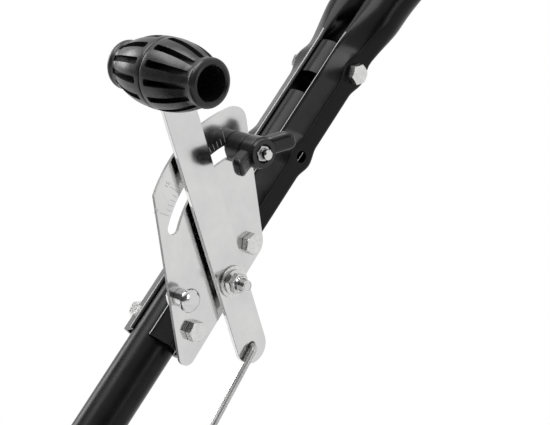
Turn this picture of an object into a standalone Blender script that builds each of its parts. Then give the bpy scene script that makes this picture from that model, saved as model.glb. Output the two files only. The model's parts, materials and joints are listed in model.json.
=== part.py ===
"""Walk-behind broadcast spreader with a gauge-plate flow control on its handle column."""
import math
from math import cos, pi, radians, sin

import bmesh
import bpy
from mathutils import Matrix, Vector

MM = 0.001

# Fits
GAP = 0.3 * MM            # between pieces that touch or seat
RUN = 0.35 * MM           # radial clearance of a shaft in its bush
SMOOTH = radians(32)      # edges sharper than this stay crisp

# Handle column, in the photograph
TUBE_OD = 31.8 * MM       # column tube and handle loop
TUBE_WALL = 1.6 * MM
COLUMN_TILT = radians(46)     # above the horizontal
COLUMN_FOOT = (0.185, 0.330)  # y and z of the tube's lower end
PIVOT_ALONG = 0.530           # column foot to the lever's pivot
TUBE_PAST_PIVOT = 0.143       # the open end of the column tube
HOLE_PITCH = 71.5 * MM        # bolt holes along the column
UPPER_BOLT_ALONG = 30.0 * MM  # from the pivot
BOLT = 8.0 * MM               # through bolts and pivot bolt
BOLT_AF = 13.0 * MM
BOLT_HEAD = 5.3 * MM
BOLT_HOLE = 0.6 * MM          # how much wider a bolt's hole is
NUT_TALL = 6.8 * MM

# Crushed ends of the handle loop, which clamp the tube between two shallow channels
CHANNEL_OUT = 25.5 * MM       # flat band's outer face, from the tube's axis
CHANNEL_BAND = 6.5 * MM       # half width of the flat band
CHANNEL_EDGE = 15.6 * MM      # half width over the folded edges
CHANNEL_THICK = 2.6 * MM      # two crushed walls
CHANNEL_START = -59.0 * MM    # lower ends, along the column from the pivot
CRUSH_PAST_BOLT = 9.0 * MM    # from the top bolt to where the crushed shape starts to open
OPENING_LENGTH = 40.0 * MM    # from there to where the tube is round again
EAR_GROWTH = 3.2 * MM         # the band is wider round the spare hole and the top bolt
EAR_REACH = 14.0 * MM

# Handle loop
ARM_SIDE = 16.2 * MM          # round arm's axis, from the column's plane
ARM_BEND = 140.0 * MM
ARM_SPLAY = radians(60)
ARM_STRAIGHT = 110.0 * MM
CORNER_BEND = 50.0 * MM
HAND_GRIP_LENGTH = 112.0 * MM
HAND_GRIP_SET_IN = 8.0 * MM
HAND_GRIP_WALL = 3.2 * MM
SPACER_LENGTH = 27.0 * MM

# Gauge plate
PLATE_THICK = 2.3 * MM
PLATE_ARC = 96.8 * MM         # outer edge, about the upper bolt
PLATE_RIGHT = 12.2 * MM       # corner about the upper bolt
PLATE_TIP = 7.0 * MM
PLATE_CORNER = 11.0 * MM
SLOT_RADIUS = 69.2 * MM       # centre line of the curved slot
SLOT_WIDTH = 9.3 * MM
SLOT_START = radians(51)
SLOT_END = radians(115.5)

# Lever
LEVER_WIDTH = 25.4 * MM
LEVER_THICK = 3.6 * MM
LEVER_LEAN = radians(63.3)    # from the column
LEVER_GRIP_REACH = 156.6 * MM
LEVER_PAST_GRIP = 12.4 * MM   # from the grip's middle to the bar's end inside it
ROD_ARM = 51.8 * MM
LEVER_OFF_PLATE = 3.1 * MM

# Lever grip
GRIP_LENGTH = 89.0 * MM
GRIP_R = 24.0 * MM
GRIP_END_R = 16.4 * MM
GRIP_BORE_R = 11.6 * MM
GRIP_SLOTS = 12
GRIP_SLOT_WIDTH = 3.8 * MM
GRIP_SLOT_DEPTH = 5.0 * MM

# Adjustable stop and closed stop
STOP_ANGLE = radians(53.3)
STOP_BOLT = 6.0 * MM
STOP_SLEEVE_R = 9.0 * MM
STOP_SLEEVE_LENGTH = 13.5 * MM
STOP_BOLT_PROUD = 4.0 * MM     # bolt's end past the knob's face
KNOB_HUB_R = 10.8 * MM
KNOB_LENGTH = 14.0 * MM
KNOB_REACH = 26.0 * MM
KNOB_WINGS = 2
KNOB_TURN = radians(60)        # first wing, about the bolt
CLOSED_STOP = (-31.0 * MM, 25.5 * MM)
CLOSED_STOP_R = 8.2 * MM
CLOSED_STOP_NECK_R = 6.2 * MM
CLOSED_STOP_PROUD = 13.8 * MM

# Control rod
ROD_D = 4.76 * MM
ROD_SLOPE = radians(5.3)      # away from the column on the way down
ROD_BEND = 9.0 * MM
ROD_RUN_ABOVE = 9.6 * MM      # level stretch above the frame rails' tops
ROD_DROP = 27.0 * MM
ROD_HOLE_PLAY = 2.6 * MM      # half the free play in the gate's slot

# Running gear
WHEEL_R = 0.165
WHEEL_WIDTH = 0.086
WHEEL_X = 0.230
HUB_SIDE_GAP = 0.6 * MM
RIM_R = 0.106
AXLE_D = 16.0 * MM
AXLE_HALF = 0.292
HUB_R = 21.0 * MM
RIM_WINDOWS = 5

# Frame
RAIL_D = 25.4 * MM
RAIL_WALL = 1.8 * MM
RAIL_X = 0.150
RAIL_Z = 0.300
RAIL_FRONT = -0.180
RAIL_KNEE = 0.230
KNEE_BEND = 0.090
LEG_SLOPE = radians(65)
LEG_END_Z = 0.014
FRONT_TUBE_Y = -0.150
REAR_TUBE_Y = 0.190
LEG_TUBE_Z = 0.130
HANGER_THICK = 4.0 * MM
HANGER_TOP_HALF = 46.0 * MM    # half width at the rail
HANGER_FOOT_R = 25.0 * MM
HANGER_BOLT_Y = 30.0 * MM
GUSSET_THICK = 3.0 * MM
STRAP_THICK = 3.0 * MM         # bar under the gearbox
GUSSET_TOP = 118.0 * MM        # along the column from its foot
GUSSET_BOLTS = (30.0 * MM, 100.0 * MM)
GUSSET_WINDOW_IN = 24.0 * MM   # from the top edge
GUSSET_RIM = 5.0 * MM          # round the cross tubes
FOOT_R = 19.0 * MM
FOOT_HOLD = 60.0 * MM          # length of the hole that takes the rail
BUSH_PROUD = 3.0 * MM          # beyond the hanger, towards the wheel

# Hopper and gate
HOPPER_WALL = 3.6 * MM
HOPPER_FLOOR_R = 0.086
HOPPER_MOUTH_R = 0.212
HOPPER_SHOULDER_Z = 0.505
HOPPER_RIM_Z = 0.600
HOPPER_LIP = 14.0 * MM
DECK_THICK = 3.0 * MM
DECK_HALF_LENGTH = 0.074
DECK_CORNER = 18.0 * MM
DECK_SCREW_X = 0.071
DECK_SCREW_Y = 0.030
PORT_X = 0.036
PORT_Y = -0.035
PORT_WIDTH = 34.0 * MM
PORT_LENGTH = 40.0 * MM
GATE_THICK = 1.5 * MM
GATE_HALF_WIDTH = 0.056
GATE_FRONT = -0.092
GATE_REAR = 0.118
GATE_HOLE_IN = 14.0 * MM      # rod's slot, from the rear edge
GATE_GUIDE_IN = 4.0 * MM      # guides end short of the deck's ends
GATE_REST_SHIFT = 12.0 * MM   # how far the gate is from fully open in the photograph
GATE_CLOSE_TRAVEL = 52.0 * MM

# Bevel gears and spinner
GEAR_TEETH = 32
PINION_TEETH = 8
GEAR_MODULE = 2.25 * MM
GEAR_FACE = 8.0 * MM
TOOTH_ABOVE = 0.55            # of the module, over the pitch cone
TOOTH_BELOW = 1.25
SHAFT_D = 10.0 * MM
SHAFT_TOP = 0.420
SPINNER_R = 0.120
SPINNER_Z = 0.240
SPINNER_VANES = 6
SPINNER_VANE_TALL = 24.0 * MM
STIRRER_REACH = 48.0 * MM      # end of each bent arm, from the shaft
STIRRER_ABOVE = 26.0 * MM      # over the hopper's floor
STIRRER_D = 4.8 * MM
STIRRER_HUB_BELOW = 42.0 * MM  # its hub's lower end, under the shaft's top
BOX_WALL = 3.2 * MM
BOX_ROOM = 2.6 * MM           # inside the housing, round the gear
BOX_SCREW = 5.4 * MM          # clearance holes
DECK_SCREW = 6.6 * MM

FINISHES = {                  # colour, roughness, metallic
    "black_paint": ((0.012, 0.012, 0.013), 0.28, 0.0),
    "zinc": ((0.62, 0.62, 0.61), 0.30, 1.0),
    "bright_steel": ((0.55, 0.55, 0.55), 0.25, 1.0),
    "black_plastic": ((0.018, 0.018, 0.019), 0.38, 0.0),
    "grey_plastic": ((0.10, 0.10, 0.105), 0.55, 0.0),
    "nylon": ((0.55, 0.54, 0.50), 0.45, 0.0),
    "rubber": ((0.02, 0.02, 0.021), 0.75, 0.0),
    "hopper_plastic": ((0.035, 0.036, 0.038), 0.45, 0.0),
}

# Places that follow from the sizes
column_dir = Vector((0, cos(COLUMN_TILT), sin(COLUMN_TILT)))
column_up = Vector((0, -sin(COLUMN_TILT), cos(COLUMN_TILT)))
foot_point = Vector((0, COLUMN_FOOT[0], COLUMN_FOOT[1]))
pivot_point = foot_point + column_dir * PIVOT_ALONG
COLUMN = Matrix.Translation(pivot_point) @ Matrix.Rotation(COLUMN_TILT, 4, "X")
ALONG_X = Matrix.Rotation(pi / 2, 4, "Y")        # a turned piece's Z becomes X
SECTION_OUT = Matrix(((0, 0, 1, 0), (1, 0, 0, 0), (0, 1, 0, 0), (0, 0, 0, 1)))   # (x, y, z) to (z, x, y)

bolt_stations = [UPPER_BOLT_ALONG + HOLE_PITCH * i for i in (-1, 0, 1, 2)]
gusset_bolts = [along - PIVOT_ALONG for along in GUSSET_BOLTS]
crush_end = bolt_stations[3] + CRUSH_PAST_BOLT
round_start = crush_end + OPENING_LENGTH
plate_back = CHANNEL_OUT + GAP
plate_front = plate_back + PLATE_THICK
lever_back = plate_front + LEVER_OFF_PLATE
lever_front = lever_back + LEVER_THICK
lever_mid = (lever_back + lever_front) / 2
arc_centre = Vector((0, bolt_stations[1], 0))
stop_place = arc_centre + SLOT_RADIUS * Vector((0, cos(STOP_ANGLE), sin(STOP_ANGLE)))
lever_top = LEVER_GRIP_REACH + LEVER_PAST_GRIP
lever_dir = Vector((0, cos(LEVER_LEAN), sin(LEVER_LEAN)))
rod_hole = lever_dir * -ROD_ARM
grip_place = lever_dir * LEVER_GRIP_REACH + Vector((lever_mid, 0, 0))
tube_r = TUBE_OD / 2
rail_r = RAIL_D / 2
rail_top = RAIL_Z + rail_r
axle_centre = Vector((0, 0, WHEEL_R))
hanger_x = RAIL_X - rail_r - GAP - HANGER_THICK / 2
deck_z = rail_top + GAP
floor_z = deck_z + DECK_THICK + GAP
gate_z = deck_z - GAP - GATE_THICK
rod_x = lever_front + ROD_D / 2 + 1.0 * MM
gate_hole = Vector((rod_x, GATE_REAR - GATE_HOLE_IN, gate_z))
guide_half = DECK_HALF_LENGTH - GATE_GUIDE_IN
cone_distance = GEAR_MODULE * math.hypot(GEAR_TEETH, PINION_TEETH) / 2
gear_angle = math.atan2(GEAR_TEETH, PINION_TEETH)
gear_r = GEAR_MODULE * GEAR_TEETH / 2
pinion_r = GEAR_MODULE * PINION_TEETH / 2
leg_foot_y = RAIL_KNEE + (RAIL_Z - LEG_END_Z) / math.tan(LEG_SLOPE)
leg_tube_y = RAIL_KNEE + (RAIL_Z - LEG_TUBE_Z) / math.tan(LEG_SLOPE)
box_r = gear_r + GEAR_MODULE + BOX_ROOM
box_left = -16.0 * MM
box_right = 31.0 * MM
boss_top = axle_centre.z + gear_r + 18.0 * MM

for old in list(bpy.data.objects):
    bpy.data.objects.remove(old, do_unlink=True)


# Materials and objects
def finish(name):
    colour, rough, metal = FINISHES[name]
    material = bpy.data.materials.new(name)
    material.use_nodes = True
    shader = material.node_tree.nodes["Principled BSDF"]
    shader.inputs["Base Color"].default_value = (*colour, 1)
    shader.inputs["Roughness"].default_value = rough
    shader.inputs["Metallic"].default_value = metal
    return material


def axis_empty(name, place):
    empty = bpy.data.objects.new(name, None)
    empty.empty_display_size = 0.03
    empty.location = place
    empty.hide_render = True
    bpy.context.collection.objects.link(empty)
    return empty


def add(name, bm, finish_name, axis=None, guide=False):
    """Make a named object from world-space geometry, hung on its joint's empty."""
    bmesh.ops.remove_doubles(bm, verts=bm.verts, dist=1e-6)
    bmesh.ops.recalc_face_normals(bm, faces=bm.faces)
    if axis is not None:
        bmesh.ops.translate(bm, verts=bm.verts, vec=-axis.matrix_world.translation)
    mesh = bpy.data.meshes.new(name)
    bm.to_mesh(mesh)
    bm.free()
    mesh.shade_smooth()
    mesh.set_sharp_from_angle(angle=SMOOTH)
    thing = bpy.data.objects.new(name, mesh)
    bpy.context.collection.objects.link(thing)
    if axis is not None:
        thing.parent = axis
    if guide:
        thing.hide_render = True
        thing.display_type = "WIRE"
    else:
        mesh.materials.append(finish(finish_name))
    return thing


def boolean(thing, cutter_bm, operation="DIFFERENCE", axis=None):
    guide = add(f"{operation.lower()}_{thing.name}_{len(thing.modifiers)}", cutter_bm, "", axis, guide=True)
    step = thing.modifiers.new(operation.title(), "BOOLEAN")
    step.operation = operation
    step.object = guide


# Shapes
def ring(radius, z, count=24, start=0.0):
    return [Vector((radius * cos(start + 2 * pi * i / count), radius * sin(start + 2 * pi * i / count), z))
            for i in range(count)]


def hex_ring(across_flats, z, count=12):
    """A hexagon with a point at each corner and each flat's middle."""
    corner = across_flats / 2 / cos(pi / 6)
    return [Vector((r * cos(pi * i / 6), r * sin(pi * i / 6), z))
            for i, r in enumerate([corner, across_flats / 2] * (count // 2))]


def loft(bm, rings, place=Matrix.Identity(4), closed=False):
    """Skin rings of equal count, capped at both ends or joined end to start."""
    rows = [[bm.verts.new(place @ p) for p in one] for one in rings]
    pairs = list(zip(rows, rows[1:]))
    if closed:
        pairs.append((rows[-1], rows[0]))
    for low, high in pairs:
        for i in range(len(low)):
            j = (i + 1) % len(low)
            bm.faces.new((low[i], low[j], high[j], high[i]))
    if not closed:
        bm.faces.new(rows[0])
        bm.faces.new(rows[-1])


def turn_solid(bm, profile, place=Matrix.Identity(4), steps=32):
    """Loft a (radius, height) profile that starts and ends with caps."""
    loft(bm, [ring(r, z, steps) for r, z in profile], place)


def hollow(bm, profile, place=Matrix.Identity(4), steps=32):
    """Loft a closed (radius, height) outline into a ring-shaped solid."""
    loft(bm, [ring(r, z, steps) for r, z in profile], place, closed=True)


def slab(bm, outline, thick, place=Matrix.Identity(4)):
    """Extrude a flat outline of (x, y) points along Z."""
    face = bm.faces.new([bm.verts.new(place @ Vector((x, y, 0))) for x, y in outline])
    grown = bmesh.ops.extrude_face_region(bm, geom=[face])["geom"]
    lift = (place.to_3x3() @ Vector((0, 0, 1))) * thick
    bmesh.ops.translate(bm, verts=[v for v in grown if isinstance(v, bmesh.types.BMVert)], vec=lift)


def block(bm, low, high, place=Matrix.Identity(4)):
    size = Vector(high) - Vector(low)
    middle = (Vector(high) + Vector(low)) / 2
    bmesh.ops.create_cube(bm, size=1, matrix=place @ Matrix.Translation(middle) @ Matrix.Diagonal((*size, 1)))


def bent_path(points, radius, steps=6):
    """Round each inner corner of a polyline with an arc."""
    points = [Vector(p) for p in points]
    radii = radius if isinstance(radius, (list, tuple)) else [radius] * (len(points) - 2)
    path = [points[0]]
    for before, corner, after, bend in zip(points, points[1:], points[2:], radii):
        arrive, leave = (corner - before).normalized(), (after - corner).normalized()
        sweep = arrive.angle(leave)
        set_back = bend * math.tan(sweep / 2)
        inward = (leave - arrive).normalized()
        centre = corner + inward * bend / cos(sweep / 2)
        first = corner - arrive * set_back - centre
        axle = arrive.cross(leave).normalized()
        path += [centre + Matrix.Rotation(sweep * i / steps, 3, axle) @ first for i in range(steps + 1)]
    return path + [points[-1]]


def frames(path, side):
    """Frames along a path: X towards `side`, Z along the path."""
    result = []
    for i, point in enumerate(path):
        ahead = (path[min(i + 1, len(path) - 1)] - path[max(i - 1, 0)]).normalized()
        across = (side - ahead * side.dot(ahead)).normalized()
        basis = Matrix((across, ahead.cross(across), ahead)).transposed().to_4x4()
        result.append(Matrix.Translation(point) @ basis)
        side = across
    return result


def pipe(bm, path, radius, wall, side, count=16, place=Matrix.Identity(4)):
    """A bent tube with open ends, or a bar when wall is 0."""
    steps = frames(path, side)
    outer = [[step @ p for p in ring(radius, 0, count)] for step in steps]
    if wall:
        inner = [[step @ p for p in ring(radius - wall, 0, count)] for step in reversed(steps)]
        loft(bm, outer + inner, place, closed=True)
    else:
        loft(bm, outer, place)


def drill(bm, start, end, size, count=8):
    """A cutter whose flats, not corners, are the hole's size apart."""
    rod(bm, start, end, size / 2 / cos(pi / count), count)


def rod(bm, start, end, radius, count=12):
    """A straight round bar between two points."""
    start, end = Vector(start), Vector(end)
    turn_to = (end - start).to_track_quat("Z", "Y").to_matrix().to_4x4()
    length = (end - start).length
    loft(bm, [ring(radius, 0, count), ring(radius, length, count)], Matrix.Translation(start) @ turn_to)


def through_bolt(bm, place, clamped, size=BOLT, flats=BOLT_AF, head=BOLT_HEAD, nut=NUT_TALL):
    """Hexagon bolt, head above the origin, with its nut tight against what it clamps below."""
    chamfer = 0.6 * MM
    shank, rounded = size / 2, flats / 2 * 0.97
    far = -clamped - nut
    rings = [ring(rounded, head, 12), hex_ring(flats, head - chamfer), hex_ring(flats, 0), ring(shank, 0, 12)]
    rings += [ring(shank, -clamped, 12), hex_ring(flats, -clamped), hex_ring(flats, far)]
    rings += [ring(shank, far, 12), ring(shank - chamfer, far - 2 * MM, 12)]
    loft(bm, rings, place)


def hex_nut(bm, place, size=BOLT, flats=BOLT_AF, tall=NUT_TALL):
    bore = size / 2 + GAP
    chamfer = 0.6 * MM
    rings = [ring(bore, 0, 12), ring(flats / 2 * 0.97, 0, 12), hex_ring(flats, chamfer),
             hex_ring(flats, tall - chamfer), ring(flats / 2 * 0.97, tall, 12), ring(bore, tall, 12)]
    loft(bm, rings, place, closed=True)


def at_x(x, along=0.0, up=0.0, outward=1):
    """A place in the column's frame, whose Z points along +X, or -X with outward -1."""
    facing = Matrix.Rotation(outward * pi / 2, 4, "Y")
    return COLUMN @ Matrix.Translation((x, along, up)) @ facing


def arc(centre, radius, start, end, steps):
    return [(centre[0] + radius * cos(start + (end - start) * i / steps),
             centre[1] + radius * sin(start + (end - start) * i / steps)) for i in range(steps + 1)]


# Column tube and handle loop
def make_column_tube():
    bm = bmesh.new()
    path = [Vector((0, -PIVOT_ALONG, 0)), Vector((0, TUBE_PAST_PIVOT, 0))]
    pipe(bm, path, tube_r, TUBE_WALL, Vector((1, 0, 0)), 24, COLUMN)
    tube = add("column_tube", bm, "black_paint")
    holes = bmesh.new()
    for along in bolt_stations[:3]:
        drill(holes, COLUMN @ Vector((-0.03, along, 0)), COLUMN @ Vector((0.03, along, 0)), BOLT + BOLT_HOLE)
    for along in gusset_bolts:
        drill(holes, COLUMN @ Vector((-0.03, along, 0)), COLUMN @ Vector((0.03, along, 0)), BOLT + BOLT_HOLE)
    boolean(tube, holes)


def channel_stations():
    """Where the crushed section is drawn, closer together at the ears."""
    stations = {CHANNEL_START, crush_end}
    for centre in bolt_stations[2:]:
        stations |= {centre + EAR_REACH * share for share in (-1, -0.6, -0.25, 0.25, 0.6, 1)}
    return sorted(along for along in stations if along <= crush_end)


def channel_section(along):
    """One crushed end in cross-section, as (out, up): outer line down to up, then inner line back."""
    band = CHANNEL_BAND
    for centre in bolt_stations[2:]:
        away = abs(along - centre) / EAR_REACH
        if away < 1:
            band += EAR_GROWTH * (0.5 + 0.5 * cos(pi * away))
    clear = tube_r + GAP + CHANNEL_THICK
    reach = math.hypot(CHANNEL_OUT, CHANNEL_BAND)
    lean = math.atan2(CHANNEL_BAND, CHANNEL_OUT) + math.acos(clear / reach)
    normal = (cos(lean), sin(lean))
    fold_out = (clear - normal[1] * CHANNEL_EDGE) / normal[0]
    outer = [(CHANNEL_OUT, band * 0.8), (CHANNEL_OUT - 0.6 * MM, band * 1.08)]
    inner = [(CHANNEL_OUT - CHANNEL_THICK, CHANNEL_BAND * 0.55)]
    for share in (0.06, 0.95):
        out = CHANNEL_OUT + (fold_out - CHANNEL_OUT) * share
        point = Vector((out, (clear - normal[0] * out) / normal[1]))
        inward = point - Vector(normal) * CHANNEL_THICK
        if share > 0.5:
            outer.append(tuple(point))
        inner.append(tuple(inward))
    outer.append((fold_out - 1.0 * MM, CHANNEL_EDGE + 0.1 * MM))
    inner.append((fold_out - 1.9 * MM, CHANNEL_EDGE - 1.4 * MM))
    outer_line = [(x, -y) for x, y in outer[::-1]] + outer
    inner_line = inner[::-1] + [(x, -y) for x, y in inner]
    return outer_line + inner_line, len(outer_line)


def round_section(count, outer_count):
    """The open tube with its points in the same order as the crushed section."""
    wrap = radians(112)
    outer = [-wrap + 2 * wrap * i / (outer_count - 1) for i in range(outer_count)]
    left = count - outer_count
    inner = [wrap + (2 * pi - 2 * wrap) * (i + 1) / (left + 1) for i in range(left)]
    return [(tube_r * cos(a), tube_r * sin(a)) for a in outer + inner]


def arm_path():
    """Centre line of one round arm and half the hand bar, as (out, along)."""
    start = Vector((ARM_SIDE, round_start, 0))
    bend_end = start + Vector((ARM_BEND * (1 - cos(ARM_SPLAY)), ARM_BEND * sin(ARM_SPLAY), 0))
    leave = Vector((sin(ARM_SPLAY), cos(ARM_SPLAY), 0))
    corner_start = bend_end + leave * ARM_STRAIGHT
    inward = Vector((-leave.y, leave.x, 0))
    corner = corner_start + inward * CORNER_BEND
    path = [start + Vector((ARM_BEND * (1 - cos(a)), ARM_BEND * sin(a), 0))
            for a in [ARM_SPLAY * i / 5 for i in range(6)]]
    turn_angle = pi / 2 + ARM_SPLAY
    path += [corner + Matrix.Rotation(turn_angle * i / 6, 3, "Z") @ (-inward * CORNER_BEND) for i in range(7)]
    return path + [Vector((0, path[-1].y, 0))]


def make_handle_loop():
    crushed, outer_count = channel_section(crush_end)
    opened = round_section(len(crushed), outer_count)
    rings = [[Vector((x, along, y)) for x, y in channel_section(along)[0]] for along in channel_stations()]
    opening = 4
    for i in range(1, opening):
        share = i / opening
        ease = share * share * (3 - 2 * share)
        along = crush_end + OPENING_LENGTH * share
        rings.append([Vector((x0 + (x1 + ARM_SIDE - x0) * ease, along, y0 + (y1 - y0) * ease))
                      for (x0, y0), (x1, y1) in zip(crushed, opened)])
    path = arm_path()
    for step in frames(path, Vector((1, 0, 0))):
        rings.append([step @ Vector((x, -y, 0)) for x, y in opened])
    mirrored = [[Vector((-p.x, p.y, p.z)) for p in one] for one in rings[:-1]]
    bm = bmesh.new()
    loft(bm, rings + mirrored[::-1], COLUMN)
    loop = add("handle_loop", bm, "black_paint")
    holes = bmesh.new()
    for along in bolt_stations:
        ends = [COLUMN @ Vector((side * 0.04, along, 0)) for side in (-1, 1)]
        drill(holes, *ends, BOLT + BOLT_HOLE, 12)
    drill(holes, COLUMN @ Vector((0.018, 0, 0)), COLUMN @ Vector((0.04, 0, 0)), BOLT + BOLT_HOLE, 12)
    boolean(loop, holes)
    return path[-2]


def make_hand_grips(bar_end):
    for name, side in (("hand_grip_left", -1), ("hand_grip_right", 1)):
        bm = bmesh.new()
        inner = tube_r + GAP
        outer = inner + HAND_GRIP_WALL
        high = bar_end.x - HAND_GRIP_SET_IN
        low = high - HAND_GRIP_LENGTH
        flange = outer + 1.5 * MM
        profile = [(inner, low), (flange, low), (flange, low + 4 * MM), (outer, low + 7 * MM)]
        profile += [(outer, high), (inner, high)]
        facing = Matrix.Translation((0, bar_end.y, 0)) @ Matrix.Rotation(side * pi / 2, 4, "Y")
        hollow(bm, profile, COLUMN @ facing, 18)
        add(name, bm, "rubber")


def make_column_bolts():
    far = CHANNEL_OUT + GAP
    near = plate_front + GAP
    top = bolt_stations[3]
    for name, along, head_at in (("gauge_bolt_lower", bolt_stations[0], near),
                                 ("gauge_bolt_upper", bolt_stations[1], near), ("handle_bolt", top, far)):
        bm = bmesh.new()
        through_bolt(bm, at_x(head_at, along), head_at + far)
        add(name, bm, "bright_steel")
    bm = bmesh.new()
    path = [Vector((0, top - SPACER_LENGTH / 2, 0)), Vector((0, top + SPACER_LENGTH / 2, 0))]
    pipe(bm, path, tube_r, TUBE_WALL, Vector((1, 0, 0)), 20, COLUMN)
    spacer = add("column_spacer", bm, "black_paint")
    holes = bmesh.new()
    drill(holes, COLUMN @ Vector((-0.03, top, 0)), COLUMN @ Vector((0.03, top, 0)), BOLT + BOLT_HOLE)
    boolean(spacer, holes)


# Flow control
def plate_outline():
    """Gauge plate as (along, up): an arc over two parallel slanted edges."""
    bolt = (bolt_stations[1], 0.0)
    tip = (bolt_stations[0] - 15.4 * MM, -7.8 * MM)
    slant = radians(53.6)
    out = slant - pi / 2
    points = arc(bolt, PLATE_RIGHT, -pi / 2, out, 5)
    reach = math.sqrt((PLATE_ARC - PLATE_CORNER) ** 2 - (PLATE_RIGHT - PLATE_CORNER) ** 2)
    corner = (bolt[0] + reach * cos(slant) + (PLATE_RIGHT - PLATE_CORNER) * cos(out),
              bolt[1] + reach * sin(slant) + (PLATE_RIGHT - PLATE_CORNER) * sin(out))
    aim = math.atan2(corner[1] - bolt[1], corner[0] - bolt[0])
    points += arc(corner, PLATE_CORNER, out, aim, 6)
    left_out = slant + pi / 2
    side = ((tip[0] - bolt[0]) * cos(left_out) + (tip[1] - bolt[1]) * sin(left_out)) + PLATE_TIP
    last = left_out - math.acos(side / PLATE_ARC)
    points += arc(bolt, PLATE_ARC, aim, last, 14)[1:]
    points += arc(tip, PLATE_TIP, left_out, radians(268), 5)
    return points


def slot_outline():
    bolt = (bolt_stations[1], 0.0)
    half = SLOT_WIDTH / 2
    first = (bolt[0] + SLOT_RADIUS * cos(SLOT_START), SLOT_RADIUS * sin(SLOT_START))
    last = (bolt[0] + SLOT_RADIUS * cos(SLOT_END), SLOT_RADIUS * sin(SLOT_END))
    points = arc(bolt, SLOT_RADIUS + half, SLOT_START, SLOT_END, 12)
    points += arc(last, half, SLOT_END, SLOT_END + pi, 5)[1:-1]
    points += arc(bolt, SLOT_RADIUS - half, SLOT_END, SLOT_START, 12)
    points += arc(first, half, SLOT_START - pi, SLOT_START, 5)[1:-1]
    return points


def make_gauge_plate():
    flat = COLUMN @ Matrix.Translation((plate_back, 0, 0)) @ SECTION_OUT
    bm = bmesh.new()
    slab(bm, plate_outline(), PLATE_THICK, flat)
    plate = add("gauge_plate", bm, "zinc")
    holes = bmesh.new()
    through = Matrix.Translation((plate_back - 1 * MM, 0, 0)) @ SECTION_OUT
    slab(holes, slot_outline(), PLATE_THICK + 2 * MM, COLUMN @ through)
    spots = [(along, 0.0, BOLT) for along in bolt_stations[:2]] + [(0.0, 0.0, BOLT), (*CLOSED_STOP, BOLT)]
    for along, up, size in spots:
        drill(holes, COLUMN @ Vector((plate_back - 1 * MM, along, up)),
              COLUMN @ Vector((plate_front + 1 * MM, along, up)), size + BOLT_HOLE, 12)
    boolean(plate, holes)


def make_closed_stop():
    """Dome-headed bolt that the lever meets when the gate is shut, with its lock nut behind."""
    bm = bmesh.new()
    dome, brim = 4.2 * MM, 0.6 * MM
    shank = BOLT / 2
    neck_top = plate_front + CLOSED_STOP_PROUD - dome
    back = plate_back - GAP
    nut = hex_ring(BOLT_AF, 0)
    rings = [ring(shank, back - NUT_TALL - 2 * MM, 12), ring(shank, back - NUT_TALL, 12)]
    rings += [[p + Vector((0, 0, z)) for p in nut] for z in (back - NUT_TALL, back)]
    rings += [ring(shank, back, 12), ring(shank, plate_front + GAP, 12)]
    rings += [ring(CLOSED_STOP_NECK_R, z, 12) for z in (plate_front + GAP, neck_top)]
    rings.append(ring(CLOSED_STOP_R, neck_top, 12))
    rings += [ring(CLOSED_STOP_R * cos(a), neck_top + brim + (dome - brim) * sin(a), 12)
              for a in (0, radians(25), radians(50), radians(72))]
    loft(bm, rings, COLUMN @ Matrix.Translation((0, *CLOSED_STOP)) @ ALONG_X)
    add("closed_stop_bolt", bm, "zinc")


def make_pivot():
    bm = bmesh.new()
    shank = BOLT / 2
    head_back = tube_r + 1.4 * MM
    head_front = head_back + 4.9 * MM
    end = lever_front + 15.4 * MM
    profile = [(5.4 * MM, head_back), (5.4 * MM, head_front), (shank, head_front), (shank, end - 1 * MM)]
    profile.append((shank - 0.9 * MM, end))
    turn_solid(bm, profile, COLUMN @ ALONG_X, 16)
    add("pivot_bolt", bm, "bright_steel")
    bm = bmesh.new()
    bore = shank + GAP
    hollow(bm, [(bore, plate_front + GAP), (9 * MM, plate_front + GAP), (9 * MM, lever_back - GAP),
                (bore, lever_back - GAP)], COLUMN @ ALONG_X, 16)
    add("pivot_spacer", bm, "nylon")
    bm = bmesh.new()
    front = lever_front + GAP
    hollow(bm, [(bore, front), (11 * MM, front), (11 * MM, front + 1.6 * MM), (bore, front + 1.6 * MM)],
           COLUMN @ ALONG_X, 24)
    add("pivot_washer", bm, "bright_steel")
    bm = bmesh.new()
    seat = front + 1.6 * MM + GAP
    rings = [ring(bore, seat, 12), ring(8.6 * MM, seat, 12), ring(8.4 * MM, seat + 1.4 * MM, 12)]
    rings += [hex_ring(BOLT_AF, seat + 2.2 * MM), hex_ring(BOLT_AF, seat + 6.6 * MM)]
    rings += [ring(5.6 * MM, seat + 8.2 * MM, 12), ring(bore, seat + 8.2 * MM, 12)]
    loft(bm, rings, COLUMN @ ALONG_X, closed=True)
    add("pivot_nut", bm, "bright_steel")


def make_lever(axis):
    """Flat bar with a round lower end, drilled for the pivot and the rod."""
    half = LEVER_WIDTH / 2
    swing = Matrix.Rotation(LEVER_LEAN - pi / 2, 4, "X")         # Z up the lever
    flat = COLUMN @ swing @ Matrix.Translation((lever_back, 0, 0)) @ SECTION_OUT
    outline = [(half, lever_top), (-half, lever_top)]
    outline += arc((0, -ROD_ARM), half, pi, 2 * pi, 12)
    bm = bmesh.new()
    slab(bm, outline, LEVER_THICK, flat)
    bar = add("lever", bm, "zinc", axis)
    holes = bmesh.new()
    for up, size in ((0.0, BOLT + BOLT_HOLE), (-ROD_ARM, ROD_D + 2 * GAP + 0.6 * MM)):
        drill(holes, flat @ Vector((0, up, -1 * MM)), flat @ Vector((0, up, LEVER_THICK + 1 * MM)), size, 12)
    boolean(bar, holes, axis=axis)


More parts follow.
